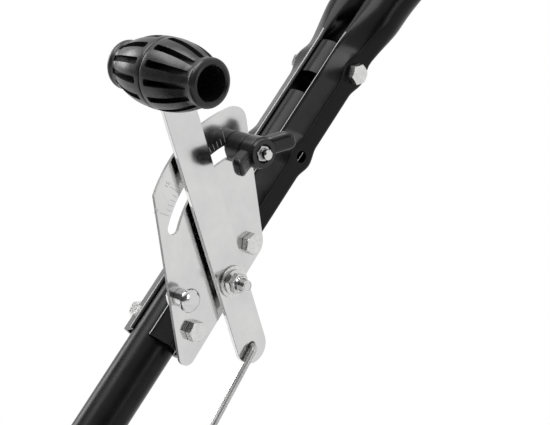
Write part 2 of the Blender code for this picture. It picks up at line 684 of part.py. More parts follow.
def grip_profile(half_gap):
    """Outer line of one grip half, from the parting line to its open end."""
    half = GRIP_LENGTH / 2
    collar = 11.0 * MM
    belly = half - collar
    line = [(GRIP_R - 0.5 * MM, half_gap), (GRIP_R, half_gap + 0.8 * MM)]
    neck = GRIP_END_R + 0.6 * MM
    for share in (0.35, 0.6, 0.82):
        line.append((neck + (GRIP_R - neck) * (1 - share ** 2.1), belly * share))
    line += [(GRIP_END_R + 0.2 * MM, belly), (GRIP_END_R + 0.9 * MM, belly + 2.5 * MM)]
    line += [(GRIP_END_R + 0.4 * MM, half - 2 * MM), (GRIP_END_R - 1.6 * MM, half), (GRIP_BORE_R, half)]
    line.append((GRIP_BORE_R, half_gap))
    return line


def make_lever_grip(axis):
    steps = 24
    for name, side in (("lever_grip_inner", -1), ("lever_grip_outer", 1)):
        place = COLUMN @ Matrix.Translation(grip_place) @ Matrix.Rotation(side * pi / 2, 4, "Y")
        bm = bmesh.new()
        hollow(bm, grip_profile(GAP / 2), place, steps)
        half = add(name, bm, "black_plastic", axis)
        cuts = bmesh.new()
        blade = Matrix.Rotation(LEVER_LEAN - pi / 2, 4, "X")
        block(cuts, (lever_back - GAP, -LEVER_WIDTH / 2 - GAP, LEVER_GRIP_REACH - GRIP_LENGTH / 2),
              (lever_front + GAP, LEVER_WIDTH / 2 + GAP, lever_top + GAP), COLUMN @ blade)
        for i in range(GRIP_SLOTS):
            around = Matrix.Rotation(2 * pi * (i + 0.5) / GRIP_SLOTS, 4, "Z")
            low, high = 5.5 * MM, GRIP_LENGTH / 2 - 13.5 * MM
            floor = GRIP_R - 0.6 * MM - GRIP_SLOT_DEPTH
            wide, narrow = GRIP_SLOT_WIDTH / 2, GRIP_SLOT_WIDTH / 2.6
            slot = [(low, -wide), (high, -narrow), (high, narrow), (low, wide)]
            lie = Matrix(((0, 0, 1, floor - 2.6 * MM), (0, 1, 0, 0), (1, 0, 0, 0), (0, 0, 0, 1)))
            slab(cuts, slot, GRIP_SLOT_DEPTH + 8 * MM, place @ around @ lie)
        boolean(half, cuts, axis=axis)


def make_stop(axis, knob_axis):
    bolt_r = STOP_BOLT / 2
    place = COLUMN @ Matrix.Translation(stop_place) @ ALONG_X
    sleeve_start = plate_front + GAP
    sleeve_end = sleeve_start + STOP_SLEEVE_LENGTH
    knob_start = sleeve_end + GAP
    knob_end = knob_start + KNOB_LENGTH
    head_top = plate_back - GAP
    bm = bmesh.new()
    profile = [(8 * MM, head_top - 3.4 * MM), (8 * MM, head_top), (bolt_r, head_top)]
    profile.append((bolt_r, knob_end + STOP_BOLT_PROUD))
    turn_solid(bm, profile, place, 16)
    add("stop_bolt", bm, "bright_steel", axis)
    bm = bmesh.new()
    bore = bolt_r + GAP
    outer = STOP_SLEEVE_R
    profile = [(bore, sleeve_start), (outer, sleeve_start), (outer, sleeve_end), (bore, sleeve_end)]
    hollow(bm, profile, place, 24)
    add("stop_sleeve", bm, "black_plastic", axis)
    bm = bmesh.new()
    count = 28
    wing_half = radians(16)
    apart = 2 * pi / KNOB_WINGS

    def winged(z, reach, hub):
        points = []
        for i in range(count):
            angle = 2 * pi * i / count
            away = abs((angle - KNOB_TURN + apart / 2) % apart - apart / 2)
            bump = max(0.0, 1 - (away / (2 * wing_half)) ** 2) ** 0.5
            radius = hub + (reach - hub) * min(1.0, bump * 1.15)
            points.append(Vector((radius * cos(angle), radius * sin(angle), z)))
        return points

    hub = KNOB_HUB_R
    rings = [ring(bore, knob_start, count), ring(hub - 1 * MM, knob_start, count),
             winged(knob_start + 1 * MM, KNOB_REACH - 1.5 * MM, hub),
             winged(knob_start + 3 * MM, KNOB_REACH, hub), winged(knob_end - 5 * MM, KNOB_REACH, hub),
             winged(knob_end - 3 * MM, KNOB_REACH - 1.5 * MM, hub),
             ring(hub, knob_end - 2.8 * MM, count), ring(hub - 0.8 * MM, knob_end, count),
             ring(6.4 * MM, knob_end, count), ring(6.4 * MM, knob_end - 4 * MM, count),
             ring(bore, knob_end - 4 * MM, count)]
    loft(bm, rings, place, closed=True)
    add("stop_knob", bm, "black_plastic", knob_axis)
    bm = bmesh.new()
    hex_nut(bm, place @ Matrix.Translation((0, 0, knob_end - 4 * MM + GAP)), STOP_BOLT, 10 * MM, 4.2 * MM)
    add("knob_nut", bm, "bright_steel", knob_axis)


# Rod and gate
def rod_points():
    """Rod's line: hook in the lever, run down beside the column, level run, drop into the gate."""
    hole = COLUMN @ rod_hole
    down = COLUMN.to_3x3() @ Vector((0, -cos(ROD_SLOPE), -sin(ROD_SLOPE)))
    level = rail_top + ROD_RUN_ABOVE
    start = Vector((rod_x, hole.y, hole.z))
    bend = start + down * ((start.z - level) / -down.z)
    back = Vector((lever_back - 6.5 * MM, hole.y, hole.z))
    above = Vector((rod_x, gate_hole.y, level))
    return [back, start, bend, above, above - Vector((0, 0, ROD_DROP))]


def make_control_rod(axis):
    bm = bmesh.new()
    path = bent_path(rod_points(), [ROD_D * 0.75, ROD_BEND * 3, ROD_BEND], 4)
    pipe(bm, path, ROD_D / 2, 0, Vector((0, 0.5, 1)), 12)
    add("control_rod", bm, "zinc", axis)
    bm = bmesh.new()
    hole = COLUMN @ rod_hole
    inner, outer = ROD_D / 2 + GAP, 6.2 * MM
    clip = [(inner, 0), (outer, 0), (outer, 0.8 * MM), (outer - 2 * MM, 2.2 * MM), (inner, 2.2 * MM)]
    facing = Matrix.Translation((lever_back - GAP, hole.y, hole.z)) @ Matrix.Rotation(-pi / 2, 4, "Y")
    hollow(bm, clip, facing, 16)
    add("rod_clip", bm, "bright_steel", axis)


def port_blocks(bm, shift, low, high):
    for side in (-1, 1):
        block(bm, (side * PORT_X - PORT_WIDTH / 2, PORT_Y + shift - PORT_LENGTH / 2, low),
              (side * PORT_X + PORT_WIDTH / 2, PORT_Y + shift + PORT_LENGTH / 2, high))


def make_gate(axis):
    bm = bmesh.new()
    half, tab = GATE_HALF_WIDTH, GATE_HALF_WIDTH - 24 * MM
    chamfer = 10 * MM
    outline = [(-half + chamfer, GATE_FRONT), (half - chamfer, GATE_FRONT), (half, GATE_FRONT + chamfer)]
    outline += [(half, GATE_REAR - chamfer), (half - chamfer, GATE_REAR), (-tab, GATE_REAR)]
    outline += [(-half, GATE_REAR - 40 * MM), (-half, GATE_FRONT + chamfer)]
    slab(bm, outline, GATE_THICK, Matrix.Translation((0, 0, gate_z)))
    gate = add("gate_plate", bm, "bright_steel", axis)
    cuts = bmesh.new()
    port_blocks(cuts, GATE_REST_SHIFT, gate_z - 1 * MM, gate_z + GATE_THICK + 1 * MM)
    free = SHAFT_D / 2 + 2 * MM
    slot = arc((0, GATE_REST_SHIFT), free, 0, pi, 6) + arc((0, -GATE_CLOSE_TRAVEL), free, pi, 2 * pi, 6)
    slab(cuts, slot, GATE_THICK + 2 * MM, Matrix.Translation((0, 0, gate_z - 1 * MM)))
    hole_r = ROD_D / 2 + 1.2 * MM
    play = arc((gate_hole.x, gate_hole.y + ROD_HOLE_PLAY), hole_r, 0, pi, 6)
    play += arc((gate_hole.x, gate_hole.y - ROD_HOLE_PLAY), hole_r, pi, 2 * pi, 6)
    slab(cuts, play, GATE_THICK + 2 * MM, Matrix.Translation((0, 0, gate_z - 1 * MM)))
    boolean(gate, cuts, axis=axis)


def make_deck():
    bm = bmesh.new()
    half_x = RAIL_X + rail_r
    cut = DECK_CORNER
    y = DECK_HALF_LENGTH
    outline = [(-half_x + cut, -y), (half_x - cut, -y), (half_x, -y + cut), (half_x, y - cut)]
    outline += [(half_x - cut, y), (-half_x + cut, y), (-half_x, y - cut), (-half_x, -y + cut)]
    slab(bm, outline, DECK_THICK, Matrix.Translation((0, 0, deck_z)))
    deck = add("hopper_deck", bm, "black_paint")
    cuts = bmesh.new()
    port_blocks(cuts, 0, deck_z - 1 * MM, deck_z + DECK_THICK + 1 * MM)
    drill(cuts, (0, 0, deck_z - 1 * MM), (0, 0, deck_z + DECK_THICK + 1 * MM), SHAFT_D + 3 * MM, 16)
    for x, y in deck_screws():
        drill(cuts, (x, y, deck_z - 1 * MM), (x, y, deck_z + DECK_THICK + 1 * MM), DECK_SCREW)
    boolean(deck, cuts)
    for name, side in (("gate_guide_left", -1), ("gate_guide_right", 1)):
        bm = bmesh.new()
        inner, web, lip = GATE_HALF_WIDTH + 0.6 * MM, 3 * MM, 7 * MM
        top, low = deck_z - GAP, gate_z - 0.6 * MM
        profile = [(inner, top), (inner + web + 8 * MM, top), (inner + web + 8 * MM, top - 2 * MM)]
        profile += [(inner + web, top - 2 * MM), (inner + web, low - 2 * MM), (inner - lip, low - 2 * MM)]
        profile += [(inner - lip, low), (inner, low)]
        stand = Matrix(((side, 0, 0, 0), (0, 0, 1, -guide_half), (0, 1, 0, 0), (0, 0, 0, 1)))
        slab(bm, profile, 2 * guide_half, stand)
        add(name, bm, "bright_steel")


def deck_screws():
    return [(x, y) for x in (-DECK_SCREW_X, DECK_SCREW_X) for y in (-DECK_SCREW_Y, DECK_SCREW_Y)]


# Hopper, spinner and drive
def make_hopper():
    wall = HOPPER_WALL
    floor, foot = HOPPER_FLOOR_R, 12 * MM
    shoulder, rim, mouth = HOPPER_SHOULDER_Z, HOPPER_RIM_Z, HOPPER_MOUTH_R
    shaft_hole = SHAFT_D / 2 + 4.3 * MM
    outside = [(floor, floor_z), (floor + 3 * MM, floor_z + foot), (mouth, shoulder)]
    lip = mouth + HOPPER_LIP
    outside += [(mouth + 3 * MM, rim - 10 * MM), (lip, rim - 9 * MM), (lip, rim)]
    inside = [(mouth + 1 * MM, rim), (mouth - wall, shoulder + 2 * MM)]
    inside += [(floor + 3 * MM - wall, floor_z + foot + 2 * MM)]
    inside += [(floor - wall - 2 * MM, floor_z + wall), (shaft_hole, floor_z + wall), (shaft_hole, floor_z)]
    bm = bmesh.new()
    hollow(bm, outside + inside, Matrix.Identity(4), 32)
    tub = add("hopper", bm, "hopper_plastic")
    cuts = bmesh.new()
    port_blocks(cuts, 0, floor_z - 1 * MM, floor_z + wall + 1 * MM)
    for x, y in deck_screws():
        drill(cuts, (x, y, floor_z - 1 * MM), (x, y, floor_z + wall + 4 * MM), DECK_SCREW)
    boolean(tub, cuts)
    bm = bmesh.new()
    bore, neck = SHAFT_D / 2 + RUN, shaft_hole - GAP
    low = floor_z
    top = floor_z + wall + GAP
    hollow(bm, [(bore, low), (neck, low), (neck, top), (neck + 5 * MM, top), (neck + 4 * MM, top + 3 * MM),
                (bore, top + 3 * MM)], Matrix.Identity(4), 16)
    add("shaft_bush", bm, "nylon")


def toothed_ring(teeth, angle, distance, phase):
    """Tooth tips and roots of a bevel gear on a sphere about the common apex."""
    tip = angle + TOOTH_ABOVE * GEAR_MODULE / cone_distance
    root = angle - TOOTH_BELOW * GEAR_MODULE / cone_distance
    points = []
    for i in range(teeth):
        for share, polar in ((-0.25, root), (-0.085, tip), (0.085, tip), (0.25, root)):
            around = phase + 2 * pi * (i + share) / teeth
            points.append(Vector((sin(polar) * cos(around), sin(polar) * sin(around), cos(polar))) * distance)
    return points


def bevel_gear(name, teeth, angle, place, phase, hub, bore, axis):
    """Straight bevel teeth that shrink towards the common apex, on a hub of (radius, height) points."""
    bm = bmesh.new()
    reaches = (cone_distance, cone_distance - GEAR_FACE)
    loft(bm, [toothed_ring(teeth, angle, distance, phase) for distance in reaches], place)
    gear = add(name, bm, "bright_steel", axis)
    core = bmesh.new()
    turn_solid(core, hub, place, 16)
    boolean(gear, core, "UNION", axis)
    hole = bmesh.new()
    turn_solid(hole, [(bore, 0), (bore, 0.06)], place, 16)
    boolean(gear, hole, axis=axis)


def make_gears(axle_axis, shaft_axis):
    apex = Matrix.Translation(axle_centre)
    inner = cone_distance - GEAR_FACE
    facing = apex @ Matrix(((0, 0, 1, 0), (0, 1, 0, 0), (-1, 0, 0, 0), (0, 0, 0, 1)))
    face_at = inner * cos(gear_angle + GEAR_MODULE / cone_distance)
    wide_at = cone_distance * cos(gear_angle)
    bevel_gear("drive_gear", GEAR_TEETH, gear_angle, facing, pi / GEAR_TEETH,
               [(inner * sin(gear_angle) - 4 * MM, face_at + 1.5 * MM), (gear_r - 6 * MM, wide_at + 4.5 * MM),
                (14 * MM, wide_at + 6.5 * MM), (14 * MM, wide_at + 15 * MM)], AXLE_D / 2 + GAP, axle_axis)
    pinion_angle = pi / 2 - gear_angle
    bevel_gear("pinion_gear", PINION_TEETH, pinion_angle, apex, 0.0,
               [(5.8 * MM, inner * cos(pinion_angle)), (7.2 * MM, gear_r), (7.2 * MM, gear_r + 8 * MM)],
               SHAFT_D / 2 + GAP, shaft_axis)


def make_gearbox():
    """Cast housing in two shells that meet at the axle's centre plane."""
    room = box_r
    skin = room + BOX_WALL
    axle_hole = AXLE_D / 2 + RUN
    profile = [(axle_hole, box_left), (axle_hole + 7 * MM, box_left), (skin - 4 * MM, box_left + 6 * MM)]
    profile += [(skin, box_left + 10 * MM), (skin, box_right - 4 * MM), (skin - 3 * MM, box_right)]
    profile += [(axle_hole, box_right), (axle_hole, box_right - BOX_WALL), (room, box_right - BOX_WALL)]
    profile += [(room, box_left + 10 * MM), (axle_hole + 7 * MM, box_left + BOX_WALL)]
    profile.append((axle_hole, box_left + BOX_WALL))
    gap = GAP / 2
    for name, sign in (("gearbox_lower", -1), ("gearbox_upper", 1)):
        bm = bmesh.new()
        hollow(bm, profile, Matrix.Translation(axle_centre) @ ALONG_X, 24)
        shell = add(name, bm, "grey_plastic")
        for side in (-1, 1):
            ear = bmesh.new()
            low, high = sorted((0.0, sign * 5 * MM))
            inner, outer = sorted((side * (room + 1.2 * MM), side * (skin + 15 * MM)))
            block(ear, (box_left + 12 * MM, inner, low), (box_right - 6 * MM, outer, high),
                  Matrix.Translation(axle_centre))
            boolean(shell, ear, "UNION")
        if sign > 0:
            boss = bmesh.new()
            foot = room - 4 * MM
            loft(boss, [ring(15 * MM, foot, 16), ring(13 * MM, boss_top - axle_centre.z - 2 * MM, 16),
                        ring(12 * MM, boss_top - axle_centre.z, 16)], Matrix.Translation(axle_centre))
            boolean(shell, boss, "UNION")
        cuts = bmesh.new()
        low, high = sorted((sign * gap, -sign * 0.08))
        block(cuts, (-0.08, -0.08, low), (0.08, 0.08, high), Matrix.Translation(axle_centre))
        boolean(shell, cuts)
        cuts = bmesh.new()
        if sign > 0:
            turn_solid(cuts, [(11.6 * MM, room - 12 * MM), (11.6 * MM, gear_r + 9 * MM)],
                       Matrix.Translation(axle_centre), 16)
            boolean(shell, cuts)
            cuts = bmesh.new()
            turn_solid(cuts, [(SHAFT_D / 2 + RUN, gear_r), (SHAFT_D / 2 + RUN, gear_r + 30 * MM)],
                       Matrix.Translation(axle_centre), 16)
            boolean(shell, cuts)
            cuts = bmesh.new()
        for x, y in box_bolts():
            drill(cuts, (x, y, axle_centre.z - 9 * MM), (x, y, axle_centre.z + 9 * MM), BOX_SCREW)
        boolean(shell, cuts)


def box_bolts():
    y = box_r + BOX_WALL + 8 * MM
    return [(x, side * y) for x in (box_left + 18 * MM, box_right - 12 * MM) for side in (-1, 1)]


def make_strap():
    """Bar that keeps the gearbox from turning with the axle, bolted under the front cross tube."""
    thick = STRAP_THICK
    low = axle_centre.z + 5 * MM + GAP
    top = RAIL_Z - rail_r - GAP
    back = -(box_r + BOX_WALL + 1.5 * MM)
    front = FRONT_TUBE_Y
    outline = [(back, low + thick), (front + 15 * MM, low + thick), (front - 2 * MM + thick, low + 18 * MM),
               (front - 2 * MM + thick, top - thick), (front + 14 * MM, top - thick), (front + 14 * MM, top),
               (front - 2 * MM, top), (front - 2 * MM, low + 17 * MM), (front + 13.5 * MM, low), (back, low)]
    middle = (box_left + 18 * MM + box_right - 12 * MM) / 2
    half = 15 * MM
    stand = Matrix(((0, 0, 1, middle - half), (1, 0, 0, 0), (0, 1, 0, 0), (0, 0, 0, 1)))
    bm = bmesh.new()
    slab(bm, outline, 2 * half, stand)
    strap = add("gearbox_strap", bm, "bright_steel")
    cuts = bmesh.new()
    for x, y in box_bolts():
        if y < 0:
            drill(cuts, (x, y, low - 1 * MM), (x, y, low + thick + 1 * MM), BOX_SCREW)
    boolean(strap, cuts)


def make_spinner(axis):
    bm = bmesh.new()
    base = axle_centre.z + (cone_distance - GEAR_FACE) * 0.94 - 4 * MM
    r = SHAFT_D / 2
    turn_solid(bm, [(r, base), (r, SHAFT_TOP - 2 * MM), (r - 1.5 * MM, SHAFT_TOP)], steps=16)
    add("spinner_shaft", bm, "bright_steel", axis)
    bm = bmesh.new()
    bore = SHAFT_D / 2 + GAP
    z = SPINNER_Z
    hub = 17 * MM
    edge, top = SPINNER_R, z + SPINNER_VANE_TALL
    profile = [(bore, z - 6 * MM), (hub - 3 * MM, z - 6 * MM), (hub, z), (edge - 10 * MM, z + 2 * MM),
               (edge, z + 7 * MM), (edge - 1 * MM, z + 9.2 * MM), (edge - 11 * MM, z + 4.4 * MM),
               (hub, z + 3 * MM), (hub - 3 * MM, top - 2 * MM), (bore, top - 2 * MM)]
    hollow(bm, profile, Matrix.Identity(4), 24)
    disc = add("spinner", bm, "grey_plastic", axis)
    vanes = bmesh.new()
    for i in range(SPINNER_VANES):
        around = Matrix.Rotation(2 * pi * i / SPINNER_VANES, 4, "Z")
        root = hub - 4.5 * MM
        outline = [(root, z + 1 * MM), (edge - 9 * MM, z + 3.2 * MM), (edge - 1.4 * MM, z + 7.9 * MM)]
        outline += [(edge - 2 * MM, top - 5 * MM), (edge - 7 * MM, top), (root, top - 7 * MM)]
        stand = Matrix(((1, 0, 0, 0), (0, 0, -1, 1.3 * MM), (0, 1, 0, 0), (0, 0, 0, 1)))
        slab(vanes, outline, 2.6 * MM, around @ stand)
    boolean(disc, vanes, "UNION", axis=axis)
    bm = bmesh.new()
    z = SHAFT_TOP - STIRRER_HUB_BELOW
    hollow(bm, [(bore, z), (9 * MM, z), (9 * MM, z + 16 * MM), (bore, z + 16 * MM)], Matrix.Identity(4), 16)
    stirrer = add("agitator", bm, "bright_steel", axis)
    arms = bmesh.new()
    for side in (-1, 1):
        path = bent_path([(side * 7.5 * MM, 0, z + 8 * MM), (side * 34 * MM, 0, z + 8 * MM),
                          (side * STIRRER_REACH, 0, floor_z + STIRRER_ABOVE)], 10 * MM, 2)
        pipe(arms, path, STIRRER_D / 2, 0, Vector((0, 1, 0)), 8)
    boolean(stirrer, arms, "UNION", axis=axis)


# Wheels and axle
def make_axle(axis):
    bm = bmesh.new()
    place = Matrix.Translation(axle_centre) @ ALONG_X
    r = AXLE_D / 2
    turn_solid(bm, [(r - 1 * MM, -AXLE_HALF), (r, -AXLE_HALF + 1 * MM), (r, AXLE_HALF - 1 * MM),
                    (r - 1 * MM, AXLE_HALF)], place, 16)
    add("axle", bm, "bright_steel", axis)
    for name, side in (("axle_clip_left", -1), ("axle_clip_right", 1)):
        bm = bmesh.new()
        start = Vector((side * (WHEEL_X + WHEEL_WIDTH / 2 + HUB_SIDE_GAP), 0, 0))
        facing = Matrix.Translation(axle_centre + start) @ Matrix.Rotation(side * pi / 2, 4, "Y")
        profile = [(r + GAP, 0), (r + 7 * MM, 0), (r + 6 * MM, 5 * MM), (r + GAP, 5 * MM)]
        hollow(bm, profile, facing, 16)
        add(name, bm, "bright_steel", axis)


def make_wheel(name_end, side, axis):
    middle = axle_centre + Vector((side * WHEEL_X, 0, 0))
    place = Matrix.Translation(middle) @ Matrix.Rotation(side * pi / 2, 4, "Y")
    half = WHEEL_WIDTH / 2
    bore = AXLE_D / 2 + RUN
    bead = RIM_R
    web = 3.2 * MM
    hub = HUB_R
    inner_end = hanger_x + HANGER_THICK / 2 + BUSH_PROUD + HUB_SIDE_GAP - WHEEL_X
    profile = [(bore, inner_end), (hub - 5 * MM, inner_end), (hub, -half), (hub + 2 * MM, -web)]
    profile += [(bead - 16 * MM, -web), (bead + 5 * MM, -half + 9 * MM)]
    profile += [(bead + 5 * MM, -half + 12 * MM), (bead - 4 * MM, -6 * MM), (bead - 4 * MM, 6 * MM)]
    profile += [(bead + 5 * MM, half - 12 * MM), (bead + 5 * MM, half - 9 * MM)]
    profile += [(bead - 16 * MM, web), (hub + 2 * MM, web), (hub, half), (bore, half)]
    bm = bmesh.new()
    hollow(bm, profile, place, 24)
    rim = add(f"rim_{name_end}", bm, "grey_plastic", axis)
    cuts = bmesh.new()
    for i in range(RIM_WINDOWS):
        aim = 2 * pi * i / RIM_WINDOWS
        spread = radians(23)
        outline = arc((0, 0), bead - 18 * MM, aim - spread, aim + spread, 3)
        outline += arc((0, 0), hub + 12 * MM, aim + spread * 0.55, aim - spread * 0.55, 1)
        slab(cuts, outline, 20 * MM, place @ Matrix.Translation((0, 0, -10 * MM)))
    boolean(rim, cuts, axis=axis)
    seat = bead + GAP
    tread = WHEEL_R
    shelf = seat + 5.2 * MM
    profile = [(seat - 3.4 * MM, 6.3 * MM), (shelf, half - 12.6 * MM), (shelf, half - 8 * MM)]
    profile += [(seat + 22 * MM, half), (tread - 15 * MM, half - 1 * MM), (tread - 4 * MM, half - 11 * MM)]
    profile += [(tread, 7 * MM)]
    mirrored = [(r, -z) for r, z in profile[::-1]]
    bm = bmesh.new()
    hollow(bm, profile + mirrored, place, 24)
    add(f"tyre_{name_end}", bm, "rubber", axis)


def make_axle_mounts():
    for name_end, side in (("left", -1), ("right", 1)):
        x = side * hanger_x
        bush_r = 12 * MM
        outline = arc((0, WHEEL_R), HANGER_FOOT_R, pi, 2 * pi, 8)
        wide = HANGER_TOP_HALF
        outline += [(wide, RAIL_Z - 8 * MM), (wide, RAIL_Z + 11 * MM)]
        outline += [(-wide, RAIL_Z + 11 * MM), (-wide, RAIL_Z - 8 * MM)]
        stand = Matrix(((0, 0, 1, x - HANGER_THICK / 2), (1, 0, 0, 0), (0, 1, 0, 0), (0, 0, 0, 1)))
        bm = bmesh.new()
        slab(bm, outline, HANGER_THICK, stand)
        hanger = add(f"axle_hanger_{name_end}", bm, "black_paint")
        cuts = bmesh.new()
        drill(cuts, (x - 0.01, 0, WHEEL_R), (x + 0.01, 0, WHEEL_R), 2 * (bush_r + GAP), 16)
        window = [(-16 * MM, WHEEL_R + 42 * MM), (16 * MM, WHEEL_R + 42 * MM), (22 * MM, RAIL_Z - 26 * MM)]
        window.append((-22 * MM, RAIL_Z - 26 * MM))
        slab(cuts, window, HANGER_THICK + 0.01, stand @ Matrix.Translation((0, 0, -0.005)))
        for y in (-HANGER_BOLT_Y, HANGER_BOLT_Y):
            drill(cuts, (x - 0.01, y, RAIL_Z), (x + 0.01, y, RAIL_Z), BOLT + BOLT_HOLE)
        boolean(hanger, cuts)
        bm = bmesh.new()
        bore = AXLE_D / 2 + RUN
        half = HANGER_THICK / 2 + BUSH_PROUD
        flange = HANGER_THICK / 2 + GAP
        profile = [(bore, -half), (bush_r, -half), (bush_r, flange), (bush_r + 5 * MM, flange),
                   (bush_r + 4.4 * MM, flange + 3 * MM), (bore, flange + 3 * MM)]
        hollow(bm, profile, Matrix.Translation((x, 0, WHEEL_R)) @ Matrix.Rotation(-side * pi / 2, 4, "Y"), 16)
        add(f"axle_bush_{name_end}", bm, "nylon")


# Frame
def make_frame():
    for name_end, side in (("left", -1), ("right", 1)):
        x = side * RAIL_X
        corners = [(x, RAIL_FRONT, RAIL_Z), (x, RAIL_KNEE, RAIL_Z), (x, leg_foot_y, LEG_END_Z)]
        bm = bmesh.new()
        pipe(bm, bent_path(corners, KNEE_BEND, 5), rail_r, RAIL_WALL, Vector((1, 0, 0)), 14)
        rail = add(f"frame_rail_{name_end}", bm, "black_paint")
        cuts = bmesh.new()
        for y in (-HANGER_BOLT_Y, HANGER_BOLT_Y):
            drill(cuts, (x - 0.02, y, RAIL_Z), (x + 0.02, y, RAIL_Z), BOLT + BOLT_HOLE)
        boolean(rail, cuts)
        foot_bm = bmesh.new()
        down = Vector((0, cos(LEG_SLOPE), -sin(LEG_SLOPE)))
        end = Vector((x, leg_foot_y, LEG_END_Z))
        lie = Matrix.Translation(end) @ down.to_track_quat("Z", "X").to_matrix().to_4x4()
        sides = [(FOOT_R - 2 * MM, -34 * MM), (FOOT_R, -30 * MM), (FOOT_R + 2 * MM, 40 * MM)]
        turn_solid(foot_bm, sides, lie, 18)
        cut = bmesh.ops.bisect_plane(foot_bm, geom=foot_bm.verts[:] + foot_bm.edges[:] + foot_bm.faces[:],
                                     plane_co=(0, 0, 0), plane_no=(0, 0, -1), clear_outer=True)
        rim = [part for part in cut["geom_cut"] if isinstance(part, bmesh.types.BMEdge)]
        bmesh.ops.contextual_create(foot_bm, geom=rim)
        boot = add(f"leg_foot_{name_end}", foot_bm, "rubber")
        cuts = bmesh.new()
        turn_solid(cuts, [(rail_r + GAP, -FOOT_HOLD), (rail_r + GAP, GAP)], lie, 16)
        boolean(boot, cuts)
    span = RAIL_X - rail_r - GAP
    for name, y, z in (("front_cross_tube", FRONT_TUBE_Y, RAIL_Z), ("rear_cross_tube", REAR_TUBE_Y, RAIL_Z),
                       ("leg_cross_tube", leg_tube_y, LEG_TUBE_Z)):
        bm = bmesh.new()
        pipe(bm, [Vector((-span, y, z)), Vector((span, y, z))], rail_r, RAIL_WALL, Vector((0, 1, 0)), 16)
        add(name, bm, "black_paint")


def make_gussets():
    """Two cheeks that clasp the column's foot and both rear cross tubes."""
    def on_column(along, up):
        point = COLUMN @ Vector((0, along, up))
        return point.y, point.z

    upper = GUSSET_TOP - PIVOT_ALONG
    rim, tube = GUSSET_RIM, rail_r
    outline = [on_column(upper, tube_r - 2 * MM), (REAR_TUBE_Y - tube - rim, RAIL_Z + tube + 1.3 * MM),
               (REAR_TUBE_Y - tube - rim, RAIL_Z - tube), (leg_tube_y - tube - rim, LEG_TUBE_Z - tube / 2),
               (leg_tube_y, LEG_TUBE_Z - tube - rim), (leg_tube_y + tube + rim, LEG_TUBE_Z - tube / 3),
               on_column(upper, 1 * MM - tube_r)]
    low = LEG_TUBE_Z + 2.7 * tube
    window = [on_column(upper - GUSSET_WINDOW_IN, -1.5 * tube_r), (REAR_TUBE_Y + 1.9 * tube, RAIL_Z - 0.8 * tube),
              (leg_tube_y - 0.9 * tube, low), (leg_tube_y + 0.2 * tube, low)]
    for name, side in (("column_gusset_left", -1), ("column_gusset_right", 1)):
        inner = tube_r + GAP
        low = inner if side > 0 else -inner - GUSSET_THICK
        stand = Matrix(((0, 0, 1, low), (1, 0, 0, 0), (0, 1, 0, 0), (0, 0, 0, 1)))
        bm = bmesh.new()
        slab(bm, outline, GUSSET_THICK, stand)
        cheek = add(name, bm, "black_paint")
        cuts = bmesh.new()
        slab(cuts, window, GUSSET_THICK + 2 * MM, stand @ Matrix.Translation((0, 0, -1 * MM)))
        for y, z, r in ((REAR_TUBE_Y, RAIL_Z, rail_r + GAP), (leg_tube_y, LEG_TUBE_Z, rail_r + GAP)):
            drill(cuts, (low - 1 * MM, y, z), (low + GUSSET_THICK + 1 * MM, y, z), 2 * r, 16)
        for along in gusset_bolts:
            y, z = on_column(along, 0)
            drill(cuts, (low - 1 * MM, y, z), (low + GUSSET_THICK + 1 * MM, y, z), BOLT + BOLT_HOLE)
        boolean(cheek, cuts)
    wide = tube_r + GUSSET_THICK + 2 * GAP
    for name, along in (("gusset_bolt_lower", gusset_bolts[0]), ("gusset_bolt_upper", gusset_bolts[1])):
        bm = bmesh.new()
        through_bolt(bm, at_x(wide, along), 2 * wide)
        add(name, bm, "bright_steel")


def centre_on_ground():
    """Put the origin on the ground, midway between the hopper's front rim and the hand grips' far side."""
    ends = [bpy.data.objects[name] for name in ("hopper", "hand_grip_left", "hand_grip_right")]
    reach = [(thing.matrix_world @ Vector(corner)).y for thing in ends for corner in thing.bound_box]
    middle = (min(reach) + max(reach)) / 2
    for thing in bpy.data.objects:
        if thing.parent is None:
            thing.location.y -= middle


lever_axis = axis_empty("lever_axis", pivot_point)
rod_axis = axis_empty("rod_axis", COLUMN @ rod_hole)
stop_axis = axis_empty("stop_axis", COLUMN @ arc_centre)
knob_axis = axis_empty("knob_axis", COLUMN @ stop_place)
gate_axis = axis_empty("gate_axis", (0, 0, gate_z))
axle_axis = axis_empty("axle_axis", axle_centre)
wheel_axis = axis_empty("wheel_axis", axle_centre - Vector((WHEEL_X, 0, 0)))
spinner_axis = axis_empty("spinner_axis", (0, 0, SPINNER_Z))
bpy.context.view_layer.update()

make_column_tube()
bar_end = make_handle_loop()
make_hand_grips(bar_end)
make_column_bolts()
make_gauge_plate()
make_closed_stop()
make_pivot()
make_lever(lever_axis)
make_lever_grip(lever_axis)
make_stop(stop_axis, knob_axis)
make_control_rod(rod_axis)
make_gate(gate_axis)
make_deck()
make_hopper()
make_gears(axle_axis, spinner_axis)
make_gearbox()
make_strap()
make_spinner(spinner_axis)
make_axle(axle_axis)
make_wheel("right", 1, axle_axis)
make_wheel("left", -1, wheel_axis)
make_axle_mounts()
make_frame()
make_gussets()
bpy.context.view_layer.update()
centre_on_ground()
bpy.context.view_layer.update()
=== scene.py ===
import json
from math import acos, atan2, cos, hypot, pi, radians, sin, sqrt

import bmesh
import bpy
from mathutils import Matrix, Vector


